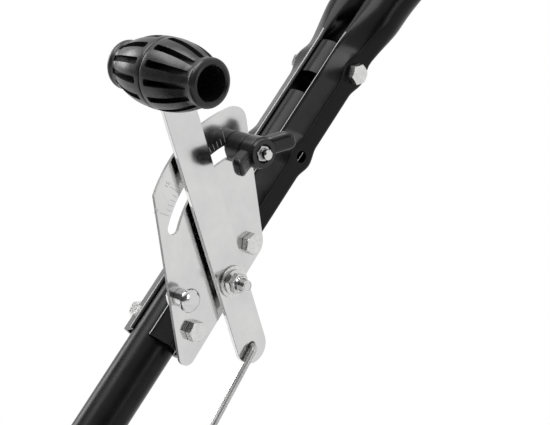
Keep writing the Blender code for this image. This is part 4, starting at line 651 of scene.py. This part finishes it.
def hexBolt(kind, clamped):
    # head above the origin, thread and nut below what it clamps
    size, flats, nutTall = kind["boltSize"] / 2, kind["boltFlats"], kind["nutTall"]
    face = flats / 2 * 0.95
    washerFace = disc(face, -0.05 * mm, 0.3 * mm, 40)
    shank = disc(size, 0.2 * mm, -clamped, 32)
    nut = placed(hexagon(flats, nutTall, True), Matrix.Translation((0, 0, -clamped - nutTall)))
    end = -clamped - nutTall - kind["pastNut"]
    screw = thread(size, kind["boltPitch"], end + 0.5 * mm, -clamped)
    tip = spun([(0, end), (size * 0.8, end), (size * 0.9, end + 0.6 * mm), (0, end + 0.6 * mm)], 28, False)
    return merged(hexagon(flats, kind["boltHead"]), washerFace, shank, nut, screw, tip)


def atX(x, along=0.0):
    return column @ Matrix.Translation((x, along, 0)) @ turnToX


def makeColumnBolts(kind):
    far, near = plateBack, plateFront + gap
    for node, along, headAt, turn in (("gauge_bolt_lower", boltAlong[0], near, 8),
                                      ("gauge_bolt_upper", boltAlong[1], near, 38),
                                      ("handle_bolt", boltAlong[3], far, 21)):
        place = atX(headAt, along) @ Matrix.Rotation(radians(turn), 4, "Z")
        bolt = placed(hexBolt(kind, headAt + far), place)
        standIn(node, bolt, "zincFastener", "frame")


makeColumnBolts(fasteners)

closedStop = {
    "dome": 8.2 * mm, "proud": 13.8 * mm, "neck": 6.2 * mm, "domeTall": 4.4 * mm, "nutTall": 4.0 * mm,
}


def makeClosedStop(stop):
    dome, neck, nutTall = stop["dome"], stop["neck"], stop["nutTall"]
    top, back = plateFront + stop["proud"], plateBack - gap
    low = top - stop["domeTall"]
    rise = stop["domeTall"] - 0.8 * mm
    profile = [(0, plateFront + gap), (neck, plateFront + gap), (neck, low)]
    profile += [(dome - 0.4 * mm, low), (dome, low + 0.4 * mm)]
    for turn in [radians(10 * i) for i in range(9)]:
        profile.append((dome * cos(turn), low + 0.8 * mm + rise * sin(turn)))
    profile.append((0, top))
    nut = placed(hexagon(fasteners["boltFlats"], nutTall, True), Matrix.Translation((0, 0, back - nutTall)))
    size, front = boltRadius, plateFront + mm
    shank = disc(size, front, back - mm, 32)
    screw = thread(size, fasteners["boltPitch"], back - nutTall - 1.2 * mm, back - mm)
    stand = column @ Matrix.Translation((0, *gaugePlate["closedStop"])) @ turnToX
    bm = placed(merged(spun(profile, 64, False), nut, shank, screw), stand)
    finished("closed_stop_finished", bm, "zincSheet", "frame", ("closed_stop_bolt",))


makeClosedStop(closedStop)

# Pivot of the lever, from the plate outwards; the bolt's end has a turned groove
pivot = {
    "spacer": 9.0 * mm, "washer": 11.0 * mm, "washerThick": 1.6 * mm, "flange": 8.6 * mm,
    "flangeTop": 6.9 * mm, "flangeThick": 1.1 * mm, "flangeTall": 2.3 * mm, "collar": 5.9 * mm,
    "collarFrom": 6.0 * mm,
    "collarTop": 5.2 * mm, "nutTall": 8.2 * mm, "end": 15.4 * mm, "endLong": 4.6 * mm,
    "groove": (2.75 * mm, 3.1 * mm), "grooveDeep": 0.5 * mm, "headRadius": 5.4 * mm, "headTall": 4.9 * mm,
}


def pivotNut(parts, bore, seat):
    flange, rim, top = parts["flange"], seat + parts["flangeTall"], seat + parts["nutTall"]
    collar, collarLow = parts["collar"], seat + parts["collarFrom"]
    skirt = spun([(bore, seat), (flange - 0.2 * mm, seat), (flange, seat + 0.3 * mm),
                  (flange, seat + parts["flangeThick"]), (parts["flangeTop"], rim), (bore, rim)], 64)
    body = placed(hexagon(fasteners["boltFlats"], 5.0 * mm), Matrix.Translation((0, 0, seat + 1.6 * mm)))
    body = carved(body, roundHole(Matrix.Translation((0, 0, seat + 4 * mm)), bore, 20 * mm, 40))
    neck = spun([(bore, collarLow), (collar, collarLow), (collar, top - 1.2 * mm), (parts["collarTop"], top),
                 (bore + 0.2 * mm, top)], 56)
    return merged(skirt, body, neck)


def pivotBolt(parts, front):
    size, end, headBack = boltRadius, leverFront + parts["end"], tubeRadius + 1.4 * mm
    head, headFront, neck = parts["headRadius"], headBack + parts["headTall"], headBack + 4 * mm
    (inner, outer), floor = parts["groove"], end - parts["grooveDeep"]
    start = end - parts["endLong"]
    knob = disc(head, headBack, headFront, 40)
    shank = disc(size, neck, front, 32)
    tip = spun([(0, start), (size, start), (size, end - 0.4 * mm), (size - 0.4 * mm, end), (outer, end),
                (outer, floor), (inner, floor), (inner, end), (0, end)], 56, False)
    return merged(knob, shank, thread(size, fasteners["boltPitch"], front - mm, end - 4.0 * mm), tip)


def makePivot(parts):
    bore = boltRadius + gap
    front, back = leverFront + gap, leverBack - gap
    seat = front + parts["washerThick"]
    stand = column @ turnToX
    washer = softenEdges(ring(bore, parts["washer"], front, seat, 72), 0.3 * mm, 3)
    standIn("pivot_washer", placed(washer, stand), "zincFastener", "frame")
    nut, bolt = pivotNut(parts, bore, seat + gap), pivotBolt(parts, front)
    standIn("pivot_nut", placed(nut, stand), "zincSheet", "frame")
    standIn("pivot_bolt", placed(bolt, stand), "zincSheet", "frame")
    spacer = softenEdges(ring(bore, parts["spacer"], plateFront + gap, back, 56), 0.3 * mm)
    standIn("pivot_spacer", placed(spacer, stand), "nylon", "frame")


makePivot(pivot)

# Adjustable stop: bolt, sleeve and wing knob
stop = {
    "angle": radians(53.3), "bolt": 3.5 * mm, "pitch": 1.0 * mm, "proud": 5.0 * mm,
    "sleeve": 10.4 * mm, "sleeveLong": 13.5 * mm, "hub": 10.8 * mm, "knobLong": 14.0 * mm, "face": 9.8 * mm,
    "recess": 6.4 * mm, "recessDeep": 4.0 * mm, "nutFlats": 10.0 * mm, "nutTall": 3.4 * mm,
    "reach": 25.0 * mm, "wings": 2, "wingTurn": radians(60), "wingWidth": 12.6 * mm, "wingThick": 11.0 * mm,
    "wingFlare": 8.6 * mm, "wingCorner": 4.6 * mm, "wingEdge": 3.8 * mm,
}


def makeWing(parts, start):
    # a rounded blade that leans forward towards its tip
    reach, half, corner = parts["reach"], parts["wingWidth"] / 2, parts["wingCorner"]
    inner = parts["hub"] - 3 * mm
    shape = [(inner, -half)] + arcPoints((reach - corner, corner - half), corner, -pi / 2, 0, 8)
    shape += arcPoints((reach - corner, half - corner), corner, 0, pi / 2, 8) + [(inner, half)]
    wing = softenEdges(slab(shape, parts["wingThick"], start + 0.6 * mm), parts["wingEdge"], 8, radians(60))
    for i in range(1, 10):
        whole = wing.verts[:] + wing.edges[:] + wing.faces[:]
        along = Vector((inner + (reach - inner) * i / 10, 0, 0))
        bmesh.ops.bisect_plane(wing, geom=whole, plane_co=along, plane_no=(1, 0, 0))
    for vert in wing.verts:
        vert.co.z += parts["wingFlare"] * max(0, (vert.co.x - inner) / (reach - inner)) ** 1.3
    return wing


def stopBolt(parts, end):
    size, back, top = parts["bolt"], plateBack - gap, end + parts["proud"]
    head = spun([(0, back), (8 * mm, back), (7.9 * mm, back - 0.8 * mm), (6.6 * mm, back - 2.2 * mm),
                 (3.6 * mm, back - 3.3 * mm), (0, back - 3.4 * mm)], 48, False)
    shank = disc(size, back - mm, end - 5 * mm, 28)
    tip = spun([(0, top - 5 * mm), (size, top - 5 * mm), (size, top - 0.7 * mm), (size * 0.75, top),
                (0, top)], 40, False)
    return merged(head, shank, thread(size, parts["pitch"], end - 6 * mm, top - 4.5 * mm), tip)


def stopKnob(parts, bore, start, end):
    hub, face, recess, floor = parts["hub"], parts["face"], parts["recess"], end - parts["recessDeep"]
    line = [(bore, start), (hub - mm, start), (hub, start + mm), (hub, end - 3 * mm), (face, end - 2.2 * mm)]
    line += [(face, end), (recess, end), (recess, floor), (bore, floor)]
    knob = softenEdges(spun(line, 72), 0.3 * mm)
    for i in range(parts["wings"]):
        around = Matrix.Rotation(parts["wingTurn"] + 2 * pi * i / parts["wings"], 4, "Z")
        knob = carved(knob, placed(makeWing(parts, start), around), "UNION")
    return knob


def makeStop(parts):
    reach, angle = gaugePlate["slotRadius"], parts["angle"]
    centre = column @ Matrix.Translation((0, boltAlong[1] + reach * cos(angle), reach * sin(angle))) @ turnToX
    bore, low = parts["bolt"] + gap, plateFront + gap
    sleeveTop = low + parts["sleeveLong"]
    start = sleeveTop + gap
    end = start + parts["knobLong"]
    bolt, knob = stopBolt(parts, end), stopKnob(parts, bore, start, end)
    standIn("stop_bolt", placed(bolt, centre), "zincSheet", "adjustable_stop")
    sleeve = softenEdges(ring(bore, parts["sleeve"], low, sleeveTop, 64), 0.35 * mm)
    standIn("stop_sleeve", placed(sleeve, centre), "gripPlastic", "adjustable_stop")
    standIn("stop_knob", placed(knob, centre), "gripPlastic", "knob")
    seat = Matrix.Translation((0, 0, end - parts["recessDeep"] + gap))
    nut = placed(hexagon(parts["nutFlats"], parts["nutTall"]), seat)
    nut = carved(nut, roundHole(seat, bore, 20 * mm, 36))
    standIn("knob_nut", placed(nut, centre), "wireZinc", "knob")


makeStop(stop)
print("fasteners, pivot and stop done")


# Handle loop: crushed ends that open into round tube; an ear is (place, growth, spread) of the flat band
handle = {
    "out": plateBack - gap, "band": 6.5 * mm, "edge": 15.6 * mm, "thick": 2.6 * mm, "start": -59.0 * mm,
    "crush": 182.0 * mm, "round": 222.0 * mm, "outerShare": 0.64, "wrap": radians(118), "side": 16.2 * mm,
    "bend": 140.0 * mm, "splay": radians(60), "straight": 110.0 * mm, "cornerBend": 50.0 * mm,
    # the lips' painted highlight strip stops this far up the column
    "ears": ((boltAlong[2], 3.0 * mm, 13 * mm), (boltAlong[3], 3.4 * mm, 15 * mm)), "paintedGlintTo": 196.0 * mm,
}


def crushedSection(tube, along):
    # outer line from the flat band to the lip, then the inner line back, and the same mirrored
    out, edge, thick, band = tube["out"], tube["edge"], tube["thick"], tube["band"]
    clear = tubeRadius + gap + thick
    lean = atan2(band, out) + acos(clear / hypot(out, band))
    lipOut = (clear - sin(lean) * edge) / cos(lean)
    for place, grow, spread in tube["ears"]:
        away = abs(along - place) / spread
        if away < 1:
            band += grow * (0.5 + 0.5 * cos(pi * away))
    half = [(out, 0.0), (out, band * 0.45), (out, band * 0.8), (out - 0.12 * mm, band * 0.95)]
    half.append((out - 0.55 * mm, band * 1.1))
    first = Vector((out - 1.1 * mm, band * 1.1 + 0.55 * mm))
    last = Vector((lipOut + 1.2 * mm, edge - 0.65 * mm))
    half += [tuple(first.lerp(last, share)) for share in (0.0, 0.2, 0.45, 0.7, 0.9, 1.0)]
    lip = [(0.7 * mm, 0.0), (0.3 * mm, 0.05 * mm), (-0.5 * mm, -0.17 * mm), (-1.9 * mm, -0.65 * mm),
           (-2.2 * mm, -1.1 * mm), (-1.9 * mm, -1.9 * mm)]
    half += [(lipOut + x, edge + y) for x, y in lip]
    slope = Vector((cos(lean), sin(lean))) * thick
    inner = [(half[i][0] - slope.x, half[i][1] - slope.y) for i in (9, 8, 7, 6)]
    inner += [(out - thick - 0.5 * mm, band * 0.8), (out - thick, band * 0.55), (out - thick, band * 0.2)]
    upper = half[1:] + inner
    return [half[0]] + upper + [(out - thick, 0.0)] + [(x, -y) for x, y in upper[::-1]]


def openSection(tube, count):
    # the round tube, its points in the same order as the crushed section's
    half, wrap = count // 2, tube["wrap"]
    outer = round(half * tube["outerShare"])
    angles = [wrap * i / outer for i in range(outer)]
    angles += [wrap + (pi - wrap) * i / (half - outer) for i in range(half - outer)]
    upper = [(tubeRadius * cos(angle), tubeRadius * sin(angle)) for angle in angles]
    return upper + [(-tubeRadius, 0.0)] + [(x, -y) for x, y in upper[:0:-1]]


def crushedRings(tube):
    # the channel's sections up the column, the last ones opening into the round tube
    start, crush = tube["start"], tube["crush"]
    stations = [start, start + 0.8 * mm, start + 30 * mm]
    for place, _, spread in tube["ears"]:
        stations += [place + spread * share / 6 for share in range(-6, 7)]
    stations = sorted(station for station in set(stations) if station < crush) + [crush]
    rings = [[Vector((x, along, y)) for x, y in crushedSection(tube, along)] for along in stations]
    opened = openSection(tube, len(rings[0]))
    for share in [i / 12 for i in range(1, 12)]:
        ease = share * share * (3 - 2 * share)
        along = crush + (tube["round"] - crush) * share
        rings.append([Vector((x0 + (x1 + tube["side"] - x0) * ease, along, y0 + (y1 - y0) * ease))
                      for (x0, y0), (x1, y1) in zip(crushedSection(tube, along), opened)])
    return rings, opened


def barPath(tube):
    # the tube's middle line: the splay outwards, the straight, and the bend in to the bar's middle
    bend, splay, turnIn = tube["bend"], tube["splay"], tube["cornerBend"]
    start = Vector((tube["side"], tube["round"], 0))
    bendEnd = start + Vector((bend * (1 - cos(splay)), bend * sin(splay), 0))
    leave = Vector((sin(splay), cos(splay), 0))
    inward = Vector((-leave.y, leave.x, 0))
    middle = bendEnd + leave * tube["straight"] + inward * turnIn
    path = []
    for turn in [splay * i / 16 for i in range(17)]:
        path.append(start + Vector((bend * (1 - cos(turn)), bend * sin(turn), 0)))
    for turn in [(pi / 2 + splay) * i / 20 for i in range(21)]:
        path.append(middle + Matrix.Rotation(turn, 3, "Z") @ (-inward * turnIn))
    return path + [Vector((0, path[-1].y, 0))]


def skinned(rings):
    # the first ring is drawn out from station to station
    bm = bmesh.new()
    verts = [bm.verts.new(point) for point in rings[0]]
    edges = [bm.edges.new(pair) for pair in zip(verts, verts[1:] + verts[:1])]
    bm.faces.new(verts)
    for ring in rings[1:]:
        drawn = bmesh.ops.extrude_edge_only(bm, edges=edges)["geom"]
        fresh = {part for part in drawn if isinstance(part, bmesh.types.BMVert)}
        following = []
        for vert in verts:
            others = [edge.other_vert(vert) for edge in vert.link_edges]
            following.append(next(other for other in others if other in fresh))
        for vert, point in zip(following, ring):
            vert.co = point
        verts = following
        edges = [bm.edges.get(pair) for pair in zip(verts, verts[1:] + verts[:1])]
    bm.faces.new(verts)
    return tidied(bm, 1e-7)


def makeHandleLoop(tube):
    rings, opened = crushedRings(tube)
    path = barPath(tube)
    side = Vector((1, 0, 0))
    for i, point in enumerate(path):
        ahead = (path[min(i + 1, len(path) - 1)] - path[max(i - 1, 0)]).normalized()
        side = (side - ahead * side.dot(ahead)).normalized()
        up = side.cross(ahead)
        rings.append([point + side * x + up * y for x, y in opened])
    mirrored = [[Vector((-point.x, point.y, point.z)) for point in ring] for ring in rings[:-1]]
    tools = [roundHole(atX(0, along), holeRadius, 90 * mm) for along in boltAlong]
    tools.append(roundHole(atX(30 * mm), holeRadius, 24 * mm))
    bm = carved(placed(skinned(rings + mirrored[::-1]), column), merged(*tools))
    spin = toColumn.to_3x3()
    for face in bm.faces:
        # painted highlight: a lighter grey strip on the narrow cut line of the lips stands for the glint of light
        # along them
        centre, out = toColumn @ face.calc_center_median(), spin @ face.normal
        onLip = abs(abs(centre.z) - tube["edge"] + 0.06 * mm) < 0.07 * mm and abs(out.z) > 0.85
        face.material_index = int(onLip and centre.y < tube["paintedGlintTo"])
    piece = standIn("handle_loop", bm, "blackPowderCoat", "frame", radians(42))
    # the second material paints the highlight on the lips
    piece.data.materials.append(look["bareEdgeAndPaintedGlint"])


makeHandleLoop(handle)


def makeStraightTubes(sizes):
    inner, half = sizes["tubeRadius"] - sizes["tubeWall"], sizes["spacerHalf"]
    tubes = (("column_tube", sizes["tubeLow"], sizes["tubeHigh"], boltAlong[:3]),
             ("column_spacer", boltAlong[3] - half, boltAlong[3] + half, boltAlong[3:]))
    for node, low, high, holes in tubes:
        bm = softenEdges(ring(inner, sizes["tubeRadius"], low, high, 96), sizes["tubeEdge"])
        placed(bm, column @ Matrix.Rotation(-pi / 2, 4, "X"))
        tools = [roundHole(atX(0, along), holeRadius, 60 * mm) for along in holes]
        standIn(node, carved(bm, merged(*tools)), "blackPowderCoat", "frame")


makeStraightTubes(columnSizes)
print("handle and column done")


# Control rod: hooked in the lever, down beside the column, level under the hopper and into the gate
controlRod = {
    "size": 4.76 * mm, "slope": radians(5.3), "besideLever": 1.0 * mm, "hook": 6.5 * mm, "bend": 9.0 * mm,
    "above": 9.6 * mm, "drop": 27.0 * mm, "edge": 0.4 * mm,
    "clip": 6.2 * mm, "clipRim": 0.8 * mm, "clipTop": 4.2 * mm, "clipTall": 2.2 * mm,
}


def makeControlRod(rod):
    radius = rod["size"] / 2
    x, hole = leverFront + radius + rod["besideLever"], column @ rodHole
    down = column.to_3x3() @ Vector((0, -cos(rod["slope"]), -sin(rod["slope"])))
    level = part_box("frame_rail_right")[1].z + rod["above"]
    hook, start = Vector((leverBack - rod["hook"], hole.y, hole.z)), Vector((x, hole.y, hole.z))
    bend = start + down * ((start.z - level) / -down.z)
    above = Vector((x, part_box("control_rod")[0].y + radius, level))
    path = roundedPath([hook, start, bend, above, above - Vector((0, 0, rod["drop"]))],
                       [radius * 1.5, rod["bend"] * 3, rod["bend"]])
    bent = softenEdges(tubeAlong(path, radius, 28), rod["edge"])
    standIn("control_rod", bent, "wireZinc", "control_rod")
    bore, rim, tall = radius + gap, rod["clip"], rod["clipTall"]
    clip = spun([(bore, 0), (rim, 0), (rim, rod["clipRim"]), (rod["clipTop"], tall), (bore, tall)], 48)
    stand = Matrix.Translation((leverBack - gap, hole.y, hole.z)) @ Matrix.Rotation(-pi / 2, 4, "Y")
    placed(softenEdges(clip, 0.2 * mm), stand)
    standIn("rod_clip", clip, "zincFastener", "control_rod")


makeControlRod(controlRod)

# Pieces whose CAD outline is already right: their edges are softened and they get their finish
plainPieces = {
    "blackPowderCoat": ("black_paint", (
        "axle_hanger_left", "axle_hanger_right", "column_gusset_left", "column_gusset_right",
        "front_cross_tube", "rear_cross_tube", "leg_cross_tube", "hopper_deck", "frame_rail_left",
        "frame_rail_right")),
    "drawnSteel": ("bright_steel", (
        "agitator", "axle", "axle_clip_left", "axle_clip_right", "drive_gear", "pinion_gear",
        "gate_guide_left", "gate_guide_right", "gate_plate", "gearbox_strap", "gusset_bolt_lower",
        "gusset_bolt_upper", "spinner_shaft")),
    "greyPlastic": ("grey_plastic", ("gearbox_lower", "gearbox_upper", "rim_left", "rim_right", "spinner")),
    "nylon": ("nylon", ("axle_bush_left", "axle_bush_right", "shaft_bush")),
    "softRubber": ("soft_rubber", ("hand_grip_left", "hand_grip_right", "leg_foot_left", "leg_foot_right")),
    "tyreRubber": ("tyre_rubber", ("tyre_left", "tyre_right")),
    "hopperPlastic": ("hopper_plastic", ("hopper",)),
}
plainEdge = 0.35 * mm
bodyOf = {node: body for body, nodes in frame["record"]["behaviour"]["bodies"].items() for node in nodes}
for finishName, (slotName, nodeNames) in plainPieces.items():
    for node in nodeNames:
        softenedCopy(node, finishName, bodyOf[node], plainEdge)
print("plain pieces done")


# Small fasteners of the frame and the deck
frameBolts = {
    "hangerAlong": (-30.0 * mm, 30.0 * mm), "deckPlaces": ((71.0 * mm, 30.0 * mm), (71.0 * mm, -30.0 * mm)),
    "deckFlats": 10.0 * mm, "deckHead": 4.0 * mm,
}


def makeFrameBolts(kind):
    rail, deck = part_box("frame_rail_right")[1].x + gap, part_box("hopper_deck")[0].z - gap
    hangerLow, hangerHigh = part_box("axle_hanger_right")
    crossLow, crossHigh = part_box("front_cross_tube")
    middle, z = (hangerLow.y + hangerHigh.y) / 2, (crossLow.z + crossHigh.z) / 2
    flats = fasteners["boltFlats"]
    parts = []
    for side in (-1, 1):
        out, back = Matrix.Rotation(side * pi / 2, 4, "Y"), Matrix.Rotation(-side * pi / 2, 4, "Y")
        for y in [middle + along for along in kind["hangerAlong"]]:
            head, nut = hexagon(flats, fasteners["boltHead"]), hexagon(flats, fasteners["nutTall"], True)
            parts.append(placed(head, Matrix.Translation((side * rail, y, z)) @ out))
            parts.append(placed(nut, Matrix.Translation((side * (hangerLow.x - gap), y, z)) @ back))
        for x, y in kind["deckPlaces"]:
            place = Matrix.Translation((side * x, middle + y, deck)) @ Matrix.Rotation(pi, 4, "X")
            parts.append(placed(hexagon(kind["deckFlats"], kind["deckHead"]), place))
    finished("frame_fasteners", merged(*parts), "zincFastener", "frame")


makeFrameBolts(frameBolts)


# Camera, light and floor
camera = {"azimuth": 48.466, "elevation": 14.649, "lens": 144.8, "from": (1.08208, -0.92049, 0.41894)}
studio = {
    "floor": {"colour": (0.90, 0.90, 0.90), "reach": 40, "shadowReach": (0.9, 1.9)}, "ambient": 0.55,
    "lamps": {
        "topBox": {"place": (-0.63, -0.55, 3.16), "size": (2.0, 2.0), "power": 80.0},
        "sideBox": {"place": (2.9, 0.66, 1.4), "size": (0.6, 1.2), "power": 9.0},
        "backBox": {"place": (-3.03, -0.44, 1.60), "size": (0.9, 1.6), "power": 34.0},
    },
    "aim": (0, 0.2, 0.75),
    "wall": {"radius": 7.0, "between": (-160, 18), "tall": 6.0, "colour": (0.16, 0.16, 0.16)},
}


def makeCamera(shot):
    lens = bpy.data.cameras.new("photoCamera")
    lens.lens, lens.sensor_width = shot["lens"], 36.0
    lens.clip_start, lens.clip_end = 0.05, 100
    view = bpy.data.objects.new("photoCamera", lens)
    view.location = pivotPoint + Vector((leverFront, 0, 0)) + Vector(shot["from"])
    view.rotation_euler = (radians(90 - shot["elevation"]), 0, radians(shot["azimuth"]))
    bpy.context.scene.collection.objects.link(view)
    bpy.context.scene.camera = view


def makeLamp(name, lamp, aim):
    light = bpy.data.lights.new(name, "AREA")
    light.shape, light.energy = "RECTANGLE", lamp["power"]
    light.size, light.size_y = lamp["size"]
    holder = bpy.data.objects.new(name, light)
    turn = (Vector(aim) - Vector(lamp["place"])).to_track_quat("-Z", "Y").to_matrix().to_4x4()
    holder.matrix_world = Matrix.Translation(lamp["place"]) @ turn
    bpy.context.scene.collection.objects.link(holder)


def stagePiece(name, bm, material):
    mesh = bpy.data.meshes.new(name)
    bm.to_mesh(mesh)
    bm.free()
    mesh.materials.append(material)
    piece = bpy.data.objects.new(name, mesh)
    bpy.context.scene.collection.objects.link(piece)


def plainMaterial(name, colour, values):
    material = bpy.data.materials.new(name)
    material.use_nodes = True
    nodes, links = material.node_tree.nodes, material.node_tree.links
    shader = nodes["Principled BSDF"]
    shader.inputs["Base Color"].default_value = (*colour, 1)
    for socket, value in values.items():
        shader.inputs[socket].default_value = value
    return material, nodes, links, shader.outputs["BSDF"], nodes["Material Output"].inputs["Surface"]


def whiteWhenSeen(nodes, links, lit, surface, share=None):
    # camera, mirror and glass rays meet plain white, and all other rays the lit surface
    ray, white, chosen = (addNode(nodes, kind) for kind in ("LightPath", "Emission", "MixShader"))
    first = addNode(nodes, "Math", operation="MAXIMUM")
    both = addNode(nodes, "Math", operation="MAXIMUM")
    wire(links, (ray.outputs["Is Camera Ray"], first.inputs[0]),
         (ray.outputs["Is Glossy Ray"], first.inputs[1]), (first.outputs["Value"], both.inputs[0]),
         (ray.outputs["Is Transmission Ray"], both.inputs[1]))
    seen = both.outputs["Value"]
    if share:
        part = addNode(nodes, "Math", operation="MULTIPLY")
        wire(links, (seen, part.inputs[0]), (share, part.inputs[1]))
        seen = part.outputs["Value"]
    wire(links, (seen, chosen.inputs["Fac"]), (lit, chosen.inputs[1]),
         (white.outputs["Emission"], chosen.inputs[2]), (chosen.outputs["Shader"], surface))


def makeFloor(floor):
    # its shadow shows near the object and fades to plain white further out
    bm = bmesh.new()
    bmesh.ops.create_circle(bm, cap_ends=True, segments=96, radius=floor["reach"])
    material, nodes, links, lit, surface = plainMaterial(
        "paleFloor", floor["colour"], {"Roughness": 0.8, "Specular IOR Level": 0.2})
    near, far = floor["shadowReach"]
    away = addNode(nodes, "VectorMath", operation="LENGTH")
    fade = addNode(nodes, "MapRange", {"From Min": near, "From Max": far})
    fade.interpolation_type = "SMOOTHSTEP"
    wire(links, (addNode(nodes, "TexCoord").outputs["Object"], away.inputs[0]),
         (away.outputs["Value"], fade.inputs["Value"]))
    whiteWhenSeen(nodes, links, lit, surface, fade.outputs["Result"])
    stagePiece("studioFloor", bm, material)


def makeWall(wall):
    # a dark curved wall on the camera's side, clear to the camera, which the metal and the paint mirror
    bm = bmesh.new()
    start, end = (radians(angle) for angle in wall["between"])
    low = Matrix.Rotation(start, 3, "Z") @ Vector((wall["radius"], 0, 0))
    foot, top = bm.verts.new(low), bm.verts.new(low + Vector((0, 0, wall["tall"])))
    edge = bm.edges.new((foot, top))
    bmesh.ops.spin(bm, geom=[foot, top, edge], cent=(0, 0, 0), axis=(0, 0, 1), angle=end - start, steps=48)
    material, nodes, links, lit, surface = plainMaterial("darkWall", wall["colour"], {"Roughness": 0.9})
    ray, clear, chosen = (addNode(nodes, kind) for kind in ("LightPath", "BsdfTransparent", "MixShader"))
    wire(links, (ray.outputs["Is Camera Ray"], chosen.inputs["Fac"]), (lit, chosen.inputs[1]),
         (clear.outputs["BSDF"], chosen.inputs[2]), (chosen.outputs["Shader"], surface))
    stagePiece("studioWall", bm, material)


def makeWorld(ambient):
    world = bpy.data.worlds.new("studio")
    bpy.context.scene.world = world
    world.use_nodes = True
    nodes, links = world.node_tree.nodes, world.node_tree.links
    sky = nodes["Background"]
    sky.inputs["Color"].default_value = (1, 1, 1, 1)
    sky.inputs["Strength"].default_value = ambient
    whiteWhenSeen(nodes, links, sky.outputs["Background"], nodes["World Output"].inputs["Surface"])


makeCamera(camera)
makeFloor(studio["floor"])
makeWall(studio["wall"])
makeWorld(studio["ambient"])
for lampName, lamp in studio["lamps"].items():
    makeLamp(lampName, lamp, studio["aim"])
bpy.context.scene.view_settings.view_transform = "Standard"
print("camera, light and floor done")
